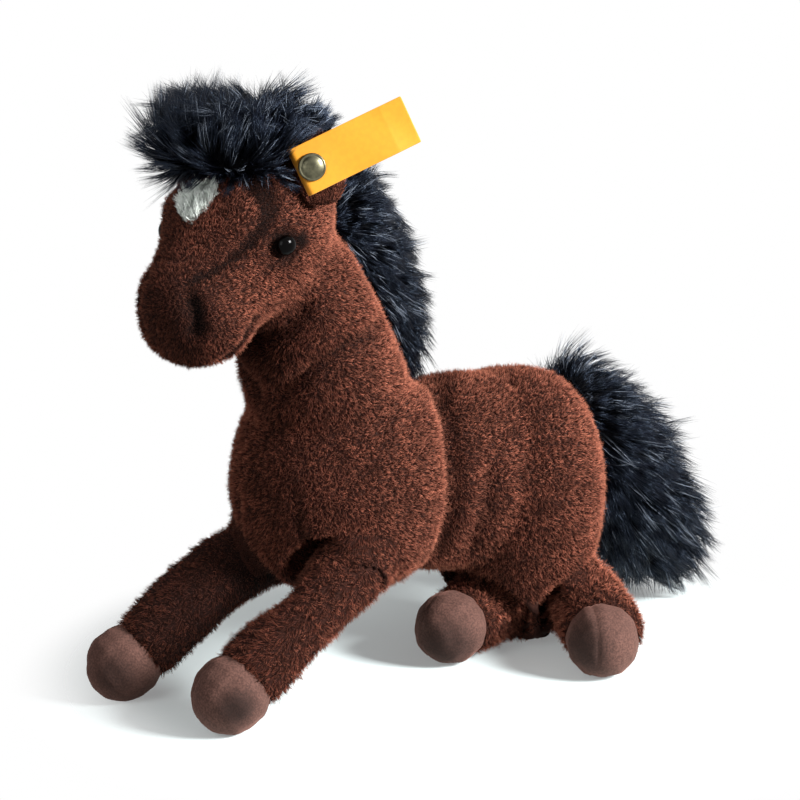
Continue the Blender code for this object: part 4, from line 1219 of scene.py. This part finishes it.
class HorseCoat(bpy.types.PropertyGroup):
    """The brown pile of trunk, head, legs and ears."""

    trunk_length: length("Trunk pile", "Length of the pile on the trunk", 0.0021)
    head_length: length("Head pile", "Length of the pile on the head", 0.0017)
    leg_length: length("Leg pile", "Length of the tousled pile on the legs", 0.0023)
    ear_length: length("Ear pile", "Length of the pile on the ears", 0.0014)
    strand_width: length("Strand", "Width of one strand at its root", 0.00023)
    density: IntProperty(name="Density", description="Strands to the square metre", default=4900000, min=1)
    root: tint("Root", "Colour at the root of the pile", (0.12, 0.045, 0.035))
    body: tint("Body", "Colour half way up the pile", (0.36, 0.185, 0.14))
    tip: tint("Tip", "Colour at the tips", (0.63, 0.39, 0.305))
    curly: tint("Curly pile", "Colour of the tips on the legs", (0.64, 0.395, 0.31))
    blaze: tint("Blaze", "Colour of the white patch on the forehead", (0.97, 1.0, 0.97))


class HorseHair(bpy.types.PropertyGroup):
    """The long pile of forelock, mane and tail."""

    mane_length: length("Mane hair", "Length of the hair of the mane", 0.0100)
    tail_length: length("Tail hair", "Length of the hair of the tail", 0.0130)
    forelock_length: length("Forelock hair", "Length of the hair of the forelock", 0.0145)
    strand_width: length("Hair", "Width of one hair at its root", 0.00019)
    strands: IntProperty(name="Hairs", description="Hairs in each of the three pieces", default=16800, min=1)
    body: tint("Hair", "Colour of the hair", (0.020, 0.025, 0.046))
    # The glint colour is a painted highlight: the pale hairs stand in for glints of light on the black hair.
    glint: tint("Glint", "Colour of the few pale hairs", (0.62, 0.66, 0.72))


class HorseTrim(bpy.types.PropertyGroup):
    """Hooves, eyes, rivet and tag."""

    hoof: tint("Hoof", "Colour of the suede of the hooves", (0.335, 0.235, 0.208))
    eye: tint("Eye", "Colour of the glass eyes", (0.012, 0.009, 0.009))
    tag: tint("Tag", "Colour of the cloth of the ear tag", (0.84, 0.56, 0.10))
    rivet: tint("Rivet", "Colour of the metal of the rivet", (0.42, 0.41, 0.33))


class HorseStage(bpy.types.PropertyGroup):
    """Floor, lights and backdrop."""

    floor: tint("Floor", "Colour of the floor", (0.93, 0.985, 0.985))
    key: power("Key", "Power of the main lamp", 40.0)
    fill: power("Fill", "Power of the lamp on the other side", 4.2)
    top: power("Top", "Power of the lamp overhead", 0.3)
    sky: measure("Sky", "Strength of the light from all around", 0.165)


# Pieces

def scaled(colour, share):
    """A share of a colour."""
    return tuple(share * c for c in colour)


def brown_finishes(coat, group):
    """The finishes of the brown pile and the cloth under it."""
    colours = (coat.root, coat.body, coat.tip, coat.curly, coat.blaze)
    root, body, tip, curly, pale = (tuple(colour) for colour in colours)
    return {
        "plush": pile_finish("Brown plush", group, root, body, tip, tip, AIRBRUSH_AND_PAINTED_SHADE,
                             Mottle=0.62, Mottle_Scale=110.0),
        "curly": pile_finish("Curly brown plush", group, root, body, curly, tip, AIRBRUSH_AND_PAINTED_SHADE,
                             Mottle=0.72, Mottle_Scale=130.0),
        "white": pile_finish("White plush", group, scaled(pale, 0.92), pale, pale, pale, AIRBRUSH_AND_PAINTED_SHADE,
                             sheen=1.0, Mottle=0.04),
        "cloth": backing_finish("Brown backing", scaled(body, 0.55), pale, AIRBRUSH_AND_PAINTED_SHADE),
    }


def dressed(objects, finish, body):
    """Gives pieces their material and body."""
    for obj in objects:
        finish.wear(obj)
        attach(obj, body)


class HorseOperator:
    """What the operators share: their options, and what they have made."""

    bl_options = {"REGISTER", "UNDO"}
    made = {}


class HORSE_OT_skins(HorseOperator, bpy.types.Operator):
    """Makes the skins of trunk, head and legs, which everything else grows on"""

    bl_idname = "horse.skins"
    bl_label = "Skins"

    def execute(self, context):
        coat = context.scene.horse_coat
        group = strand_tint_group()
        self.made.update(brown_finishes(coat, group), group=group)
        cover = make_skin("body_skin", COVER_NODES, BODY_GRAIN, coat.head_length * HEAD_INSET_SHARE, 8)
        sculpt(cover)
        skins = {"body_skin": (cover, "trunk", COVER_NODES, "plush")}
        for leg in LEGS:
            nodes = (leg, leg + "_stuffing")
            sleeve = make_skin(leg + "_skin", nodes, LEG_GRAIN, coat.leg_length * LEG_INSET_SHARE, 8)
            swell_legs(sleeve)
            skins[leg + "_skin"] = (sleeve, leg, nodes, "curly_plush")
        for name, (skin, body, nodes, slot) in skins.items():
            unwrap(skin)
            dressed([skin], self.made["cloth"], body)
            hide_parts(*nodes)
            self.made[name] = skin
        return {"FINISHED"}


class HORSE_OT_cuffs(HorseOperator, bpy.types.Operator):
    """Makes the bands of cover where the legs are sewn to the trunk"""

    bl_idname = "horse.cuffs"
    bl_label = "Leg cuffs"

    def execute(self, context):
        coat = context.scene.horse_coat
        for leg in LEGS:
            face, cuff = make_cuff(leg, coat.trunk_length * CUFF_INSET_SHARE)
            unwrap(cuff)
            unwrap(face)
            bridging([cuff], self.made["cloth"])
            self.made[face.name] = face
        return {"FINISHED"}


def bridging(objects, finish):
    """Gives pieces that span a leg's joint their material, and puts their place into their mesh."""
    for obj in objects:
        finish.wear(obj)
        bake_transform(obj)


class HORSE_OT_trunk_pile(HorseOperator, bpy.types.Operator):
    """Grows the short pile of the trunk, with painted shade in its seams and folds"""

    bl_idname = "horse.trunk_pile"
    bl_label = "Trunk pile"

    def execute(self, context):
        coat = context.scene.horse_coat
        pile = Coat(coat.trunk_length, coat.strand_width, coat.density, stand=0.86, ruffle=0.3,
                    ruffle_size=0.003, stray=0.34, clump=0.0009, pull=0.35, tuft=0.18, uneven=0.15)
        covers = [self.made[leg + "_skin"] for leg in LEGS]

        def open_to_view(points):
            shown = ~on_head(points)
            for leg in LEGS:
                shown[shown] = ~under_cuff(points[shown], leg, self.made[leg + "_cuff_face"])
            return shown

        grown = grow("body_pile", self.made["body_skin"], pile, trunk_flow, 21, shade=airbrush_and_painted_shade,
                     hidden=covers, where=open_to_view)
        dressed(grown, self.made["plush"], "trunk")
        return {"FINISHED"}


class HORSE_OT_head_pile(HorseOperator, bpy.types.Operator):
    """Grows the pile of the head, with its airbrush, its painted shade in creases and on the front of the
    face, and the white blaze
    """

    bl_idname = "horse.head_pile"
    bl_label = "Head pile and blaze"

    def execute(self, context):
        coat = context.scene.horse_coat
        skin = self.made["body_skin"]
        size, reach = BLAZE_RAGGED

        def on_blaze(points):
            ragged = waves(points, size, 31)[:, 0] * reach
            ahead, aside, up = face_frame(points)
            return (within(aside, up, BLAZE_OUTLINE) + ragged > 0) & (ahead > 0)

        pile = Coat(coat.head_length, coat.strand_width * 0.92, coat.density * 1.25, stand=0.82, ruffle=0.25,
                    ruffle_size=0.003, stray=0.32, clump=0.0009, pull=0.35, tuft=0.16, uneven=0.12)
        mark_skin(skin, airbrush_and_painted_shade, lambda points: on_head(points) & on_blaze(points))
        grown = grow("head_pile", skin, pile, head_flow, 22, shade=airbrush_and_painted_shade,
                     where=lambda points: on_head(points) & ~on_blaze(points))
        dressed(grown, self.made["plush"], "trunk")
        thick = replace(pile, density=pile.density * 1.5, width=pile.width * 1.05, length=pile.length * 1.6,
                        stand=0.45, stray=0.2, clump=0.0015, pull=0.5, tuft=0.3, steps=2)
        grown = grow("blaze_pile", skin, thick, head_flow, 22,
                     where=lambda points: on_head(points) & on_blaze(points))
        dressed(grown, self.made["white"], "trunk")
        return {"FINISHED"}


class HORSE_OT_leg_pile(HorseOperator, bpy.types.Operator):
    """Grows the curly pile of the legs, with painted shade in the hollow between the fore legs"""

    bl_idname = "horse.leg_pile"
    bl_label = "Leg pile"

    def execute(self, context):
        coat = context.scene.horse_coat
        pile = Coat(coat.leg_length, coat.strand_width, coat.density * 0.7, stand=0.6, ruffle=0.5,
                    ruffle_size=0.0024, stray=0.25, clump=0.0012, pull=0.4, tuft=0.22, uneven=0.15)
        for number, leg in enumerate(LEGS):
            skin, face = self.made[leg + "_skin"], self.made[leg + "_cuff_face"]
            covers = [self.made["body_skin"], self.made[leg.replace("leg", "hoof")]]
            mark_skin(skin, hollow_shade)
            grown = grow(leg + "_pile", skin, pile, leg_flow(leg), 40 + number, shade=hollow_shade,
                         hidden=covers,
                         where=lambda points, leg=leg, face=face: ~under_cuff(points, leg, face))
            dressed(grown, self.made["curly"], leg)
            others = [self.made[other + "_skin"] for other in LEGS if other != leg]
            grown = grow(leg + "_cuff_pile", face, pile, leg_flow(leg), 140 + number, shade=hollow_shade,
                         hidden=others, where=off_skins([self.made["body_skin"], skin], CUFF_CLEAR))
            bridging(grown, self.made["curly"])
            bpy.data.objects.remove(face)
        return {"FINISHED"}


class HORSE_OT_hooves(HorseOperator, bpy.types.Operator):
    """Makes the stuffed suede hooves with their dark patches, partly airbrush and partly painted shade"""

    bl_idname = "horse.hooves"
    bl_label = "Hooves"

    def execute(self, context):
        trim = context.scene.horse_trim
        suede = suede_finish("Hoof suede", tuple(trim.hoof))
        for number, leg in enumerate(LEGS):
            node = leg.replace("leg", "hoof")
            hoof = make_skin(node + "_cap", (node,), HOOF_GRAIN, 0.0, 6)
            points = points_of(hoof.data)
            run = unit(middle(node) - middle(leg))
            across = unit(np.cross(run, (0, 0, 1.0)))
            away = np.abs((points - middle(node)) @ across - HOOF_SEAM_ASIDE)
            grain = sum(waves(points, size, seed)[:, :1] * lift for size, lift, seed in (
                (*HOOF_NAP, 50 + number), (*HOOF_LUMPS, 60)))
            width, depth = HOOF_SEAM
            points += normals_of(hoof.data) * (grain - depth * np.exp(-(away / width) ** 2)[:, None])
            points[:, 2] = np.maximum(points[:, 2], 0.0)
            set_points(hoof.data, points)
            unwrap(hoof)
            offset, radius, strength = HOOF_PATCHES[leg]
            patch = [(middle(node) + offset, radius, strength)]
            mark_skin(hoof, lambda points, patch=patch: soft_spots(points, patch))
            dressed([hoof], suede, leg)
            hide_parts(node)
            self.made[node] = hoof
        return {"FINISHED"}


def suede_finish(name, colour):
    """Short-napped suede with a fine speckle, and a dark patch that is partly airbrush and partly painted
    shade.
    """
    finish = Finish(name)
    tree = finish.tree
    dark, light = linear(colour, 0.8), linear(colour, 1.14)
    fine, broad = noise(tree, 1600.0, 3.0), noise(tree, 120.0, 3.0)
    grain = mixed(tree, "MIX", ranged(tree, fine, 0.3, 0.7), dark, light)
    cloud = mixed(tree, "MIX", ranged(tree, broad, 0.35, 0.7, 0.0, 0.35), grain, dark)
    finish.paint(mixed(tree, "MIX", pile_marks(tree)[2], cloud, linear(colour, 0.3)))
    finish.bump(fine, 0.55, 0.00025)
    finish.set(Roughness=0.9, Specular_IOR_Level=0.15, Sheen_Weight=0.5, Sheen_Roughness=0.35,
               Sheen_Tint=linear(colour, 1.8))
    return finish


class HORSE_OT_ears(HorseOperator, bpy.types.Operator):
    """Makes the lined ears with their short pile"""

    bl_idname = "horse.ears"
    bl_label = "Ears"

    def execute(self, context):
        coat = context.scene.horse_coat
        for number, side in enumerate(SIDES):
            body = "ear_" + side
            nodes = (body + "_back", body + "_lining")
            skin = make_skin(body + "_skin", nodes, EAR_GRAIN, EAR_INSET, 4)
            unwrap(skin)
            dressed([skin], self.made["cloth"], body)
            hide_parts(*nodes)
            self.made[skin.name] = skin
            pile = Coat(coat.ear_length, coat.strand_width * 0.8, coat.density * 1.6, stand=0.45, ruffle=0.25,
                        ruffle_size=0.003, stray=0.12, clump=0.001, pull=0.3, tuft=0.1)
            grown = grow(body + "_pile", skin, pile, (0, 0, 1.0), 70 + number)
            dressed(grown, self.made["plush"], body)
        return {"FINISHED"}


class HORSE_OT_hair(HorseOperator, bpy.types.Operator):
    """Makes the forelock, the mane and the tail of long pile"""

    bl_idname = "horse.hair"
    bl_label = "Forelock, mane and tail"

    def execute(self, context):
        hair = context.scene.horse_hair
        body = tuple(hair.body)
        root, tip, glint = scaled(body, 0.35), scaled(body, 2.2), tuple(hair.glint)
        # A share of the hairs turns pale toward the tips as a painted highlight, for the glints of light on
        # the hair.
        black = pile_finish("Black long pile", self.made["group"], root, body, tip, glint, body, rough=0.32,
                            sheen=0.0, specular=0.3, Glint_Share=0.15, Mottle=0.5, Mottle_Scale=200.0)
        black.set(Specular_Tint=linear((0.75, 0.85, 1.0)))
        cloth = backing_finish("Black backing", scaled(body, 0.5), body, body)
        trims = [self.made[name] for name in ("ear_left_skin", "rivet_head", "ear_tag_cloth")]
        kinds = (
            ("forelock", "trunk", FORELOCK_FOCUS, hair.forelock_length, -0.25, 81),
            ("neck_mane", "trunk", MANE_FOCUS, hair.mane_length, 0.15, 82),
            ("tail", "tail", TAIL_FOCUS, hair.tail_length, 0.4, 83),
        )
        for node, body_name, focus, reach, droop, seed in kinds:
            flow = radiating(focus, droop)
            core = make_skin(node + "_core", (node,), HAIR_GRAIN, HAIR_INSET, 6)
            points, normals = points_of(core.data), normals_of(core.data)
            out = unit(flow(points))
            along = np.clip((out * normals).sum(axis=1, keepdims=True), 0, 1)
            set_points(core.data, points - out * along * reach * HAIR_DRAWN_IN)
            draw_in(core, 0)
            smooth(core, 4)
            unwrap(core)
            area = sum(face.area for face in core.data.polygons)
            dressed([core], cloth, body_name)
            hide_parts(node)
            pile = Coat(reach, hair.strand_width, hair.strands / area, stand=0.28, ruffle=0.36,
                        ruffle_size=0.007, stray=0.16, clump=0.0030, pull=0.6, tuft=0.2, steps=2, bow=0.25,
                        uneven=0.35)
            grown = grow(node + "_hair", core, pile, flow, seed, clear_of=trims,
                         trim=trim_forelock if node == "forelock" else None)
            dressed(grown, black, body_name)
        return {"FINISHED"}


def lathe(name, profile, steps, place, axis):
    """A round piece spun from (distance from the axis, height along it) at a place."""
    mesh = bpy.data.meshes.new(name)
    mesh.from_pydata([(r, 0, h) for r, h in profile], [(i, i + 1) for i in range(len(profile) - 1)], [])
    obj = add_object(name, mesh)
    apply_modifier(obj, "SCREW", angle=2 * math.pi, steps=steps, render_steps=steps, use_merge_vertices=True,
                   merge_threshold=MERGE, use_smooth_shade=True, use_normal_calculate=True)
    turn = Vector(axis).to_track_quat("Z", "X").to_matrix().to_4x4()
    obj.matrix_world = Matrix.Translation(Vector(place)) @ turn
    apply_place(obj)
    with editing(obj):
        bpy.ops.mesh.remove_doubles(threshold=MERGE)
        bpy.ops.mesh.normals_make_consistent(inside=False)
    unwrap(obj)
    return obj


class HORSE_OT_eyes(HorseOperator, bpy.types.Operator):
    """Makes the glass eyes"""

    bl_idname = "horse.eyes"
    bl_label = "Eyes"

    def execute(self, context):
        glass = Finish("Black glass")
        colour = tuple(context.scene.horse_trim.eye)
        glass.paint(glass.grain(400.0, 2.0, linear(colour, 0.5), linear(colour))["Color"])
        glass.set(Roughness=0.05, Specular_IOR_Level=0.06)
        for side in SIDES:
            axis = shaft_axis("eye_" + side, "eye_washer_" + side)
            top, radius = crown("eye_" + side, axis)
            arc = [math.pi / 2 * i / 12 for i in range(13)]
            dome = [(math.sin(a), EYE_RISE * (math.cos(a) - 1)) for a in arc]
            profile = [(radius * r, radius * h) for r, h in dome + EYE_BACK]
            eye = lathe("eye_glass_" + side, profile, 40, top, axis)
            dressed([eye], glass, "trunk")
            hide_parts("eye_" + side)
        return {"FINISHED"}


class HORSE_OT_rivet_and_tag(HorseOperator, bpy.types.Operator):
    """Makes the blank domed rivet and the plain cloth tag that it holds in the ear"""

    bl_idname = "horse.rivet_and_tag"
    bl_label = "Rivet and tag"

    def execute(self, context):
        trim = context.scene.horse_trim
        self.made["rivet_head"] = make_rivet(tuple(trim.rivet))
        self.made["ear_tag_cloth"] = make_tag(tuple(trim.tag))
        return {"FINISHED"}


def make_rivet(colour):
    """The rivet: a blank dome with a rolled rim."""
    metal = Finish("Pale brass")
    tree = metal.tree
    cloud = noise(tree, 500.0, 4.0)
    metal.paint(mixed(tree, "MIX", ranged(tree, cloud, 0.3, 0.75), linear(colour), linear(colour, 0.55)))
    metal.link(ranged(tree, cloud, 0.3, 0.8, 0.28, 0.5), metal.shader.inputs["Roughness"])
    metal.set(Metallic=1.0)
    profile = [(r * RIVET_RADIUS, h * RIVET_RADIUS) for r, h in RIVET_PROFILE]
    rivet = lathe("rivet_head", profile, 48, RIVET_PLACE, RIVET_AXIS)
    dressed([rivet], metal, "ear_left")
    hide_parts("ear_button")
    return rivet


def make_tag(colour):
    """The tag: a woven ribbon cut square, doubled round the edge of the ear and held by the rivet."""
    points = node_points("ear_tag")
    out, along, across = RIVET_AXIS, TAG_ALONG, np.cross(RIVET_AXIS, TAG_ALONG)
    centre = RIVET_PLACE + out * ((points - RIVET_PLACE) @ out).mean()
    reach = (points - centre) @ along
    columns, lines = TAG_GRID
    bpy.ops.mesh.primitive_grid_add(x_subdivisions=columns, y_subdivisions=lines, size=1, location=(0, 0, 0))
    tag = bpy.context.object
    tag.name = tag.data.name = "ear_tag_cloth"
    grid = points_of(tag.data)
    s, t = grid[:, 0] + 0.5, grid[:, 1]
    wide = np.ptp(TAG_CORNERS @ across)
    where = reach.min() + s * np.ptp(reach)
    start, run = TAG_FREE
    free = np.clip((where - start) / run, 0, 1)
    lift = free**2 * (TAG_LIFT + TAG_RIPPLE * np.sin(where * 180 + t * 2))
    wrapped = np.clip(TAG_FOLD - where, 0, None) / TAG_BEND
    where = np.maximum(where, TAG_FOLD) - TAG_BEND * np.sin(wrapped)
    lift -= TAG_BEND * (1 - np.cos(wrapped))
    along, across = TAG_LIE, np.cross(RIVET_AXIS, TAG_LIE)
    shaped = centre + along * where[:, None] + across * (t * wide)[:, None] + out * lift[:, None]
    set_points(tag.data, shaped)
    unwrap(tag)
    apply_modifier(tag, "SOLIDIFY", thickness=TAG_WALL, offset=0.0)
    apply_modifier(tag, "SUBSURF", levels=1, render_levels=1)
    dressed([tag], ribbon_finish(colour, (along, across, out)), "ear_tag")
    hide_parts("ear_tag")
    return tag


def ribbon_finish(colour, axes):
    """Yellow ribbon, woven along the axes of the tag."""
    cloth = Finish("Yellow ribbon")
    place, spin = cloth.add("TexCoord"), cloth.add("Mapping")
    spin.inputs["Rotation"].default_value = Matrix([list(axis) for axis in axes]).to_euler()
    cloth.link(place.outputs["Object"], spin.inputs["Vector"])
    weave = cloth.add("TexWave", Scale=1500.0, Distortion=0.4, bands_direction="Y")
    blotch = cloth.add("TexNoise", Scale=700.0, Detail=3.0)
    for node in (weave, blotch):
        cloth.link(spin.outputs["Vector"], node.inputs["Vector"])
    worn = ranged(cloth.tree, blotch.outputs["Fac"], 0.3, 0.7)
    cloth.paint(mixed(cloth.tree, "MIX", worn, linear(colour), linear(colour, 0.965)))
    cloth.bump(weave.outputs["Fac"], 0.3, 0.0001)
    cloth.set(Roughness=0.55, Specular_IOR_Level=0.35, Sheen_Weight=0.15)
    return cloth


class HORSE_OT_fittings(HorseOperator, bpy.types.Operator):
    """Finishes the washers that stay as they are in the CAD"""

    bl_idname = "horse.fittings"
    bl_label = "Washers"

    def execute(self, context):
        steel = Finish("Washer metal")
        steel.paint(steel.grain(900.0, 2.0, linear((0.5, 0.5, 0.48)), linear((0.66, 0.66, 0.64)))["Color"])
        steel.set(Metallic=1.0, Roughness=0.4)
        for node in ("eye_washer_left", "eye_washer_right", "ear_button_washer"):
            steel.wear(frame["nodes"][node])
        return {"FINISHED"}


class HORSE_OT_stage(HorseOperator, bpy.types.Operator):
    """Sets the floor, the backdrop, the lamps and the camera"""

    bl_idname = "horse.stage"
    bl_label = "Stage"

    def execute(self, context):
        stage = context.scene.horse_stage
        make_floor(tuple(stage.floor))
        for name, place, size, power in (
                ("Key lamp", (0.47, -0.90, 0.58), 0.34, stage.key),
                ("Fill lamp", (-0.95, -0.35, 0.5), 0.6, stage.fill),
                ("Top lamp", (0.1, 0.25, 1.0), 0.7, stage.top)):
            make_lamp(name, place, size, power)
        context.scene.world = make_world(stage.sky)
        data = bpy.data.cameras.new("Camera")
        data.lens, data.sensor_width = CAMERA_LENS, CAMERA_SENSOR
        context.scene.camera = add_object("Camera", data)
        aim(context.scene.camera, CAMERA_PLACE, CAMERA_TARGET)
        context.scene.view_settings.view_transform = "Standard"
        return {"FINISHED"}


def aim(obj, place, target):
    """Puts an object at a place and turns it to a target."""
    obj.location = place
    obj.rotation_euler = (Vector(target) - Vector(place)).to_track_quat("-Z", "Y").to_euler()


def make_world(sky):
    """White all around, which lights the horse with the strength of the sky and looks fully white."""
    world = bpy.data.worlds.new("Studio")
    world.use_nodes = True
    tree = world.node_tree
    seen = tree.nodes.new("ShaderNodeLightPath").outputs
    through = calculated(tree, "MAXIMUM", seen["Is Camera Ray"], seen["Is Transmission Ray"])
    level = tree.nodes.new("ShaderNodeMapRange")
    level.inputs["To Min"].default_value = sky
    level.inputs["To Max"].default_value = 1.0
    tree.links.new(calculated(tree, "MAXIMUM", through, seen["Is Glossy Ray"]), level.inputs["Value"])
    tree.links.new(level.outputs["Result"], tree.nodes["Background"].inputs["Strength"])
    tree.nodes["Background"].inputs["Color"].default_value = (1, 1, 1, 1)
    return world


def make_lamp(name, place, size, power):
    """A square soft lamp turned to the horse."""
    data = bpy.data.lights.new(name, "AREA")
    data.size, data.energy = size, power
    aim(add_object(name, data), place, LAMP_TARGET)


def make_floor(colour):
    """A round pale floor that fades into the white backdrop."""
    bpy.ops.mesh.primitive_circle_add(vertices=96, radius=FLOOR_RADIUS, fill_type="TRIFAN",
                                      location=(0, 0, -0.0002))
    floor = bpy.context.object
    floor.name = "studio_floor"
    apply_place(floor)
    finish = Finish("Studio floor")
    place = finish.add("TexCoord")
    far = finish.add("VectorMath", operation="LENGTH")
    finish.link(place.outputs["Object"], far.inputs[0])
    finish.paint(finish.grain(3.0, 2.0, linear(colour), linear(colour, 0.99))["Color"])
    finish.link(ranged(finish.tree, far.outputs["Value"], *FLOOR_FADE), finish.shader.inputs["Alpha"])
    finish.set(Roughness=0.9, Specular_IOR_Level=0.1)
    finish.wear(floor)


OPERATORS = (HORSE_OT_stage, HORSE_OT_skins, HORSE_OT_cuffs, HORSE_OT_hooves, HORSE_OT_trunk_pile,
             HORSE_OT_head_pile, HORSE_OT_leg_pile, HORSE_OT_ears, HORSE_OT_eyes, HORSE_OT_rivet_and_tag,
             HORSE_OT_hair, HORSE_OT_fittings)
SETTINGS = {"horse_coat": HorseCoat, "horse_hair": HorseHair, "horse_trim": HorseTrim,
            "horse_stage": HorseStage}


class HORSE_PT_panel(bpy.types.Panel):
    """Lists the horse's settings and its pieces in the order in which they are made"""

    bl_idname = "HORSE_PT_panel"
    bl_label = "Plush horse"
    bl_space_type = "VIEW_3D"
    bl_region_type = "UI"
    bl_category = "Plush horse"

    def draw(self, context):
        for name, group in SETTINGS.items():
            box = self.layout.box()
            for key in group.__annotations__:
                box.prop(getattr(context.scene, name), key)
        for operator in OPERATORS:
            self.layout.operator(operator.bl_idname)


def register():
    """Registers the settings, the operators and the panel."""
    for item in (*SETTINGS.values(), *OPERATORS, HORSE_PT_panel):
        bpy.utils.register_class(item)
    for name, group in SETTINGS.items():
        setattr(bpy.types.Scene, name, PointerProperty(type=group))


def unregister():
    """Takes them out again."""
    for name in SETTINGS:
        delattr(bpy.types.Scene, name)
    for item in reversed((*SETTINGS.values(), *OPERATORS, HORSE_PT_panel)):
        bpy.utils.unregister_class(item)


def main():
    """Makes every piece in order."""
    register()
    for operator in OPERATORS:
        group, name = operator.bl_idname.split(".")
        getattr(getattr(bpy.ops, group), name)()


if __name__ == "__main__":
    main()
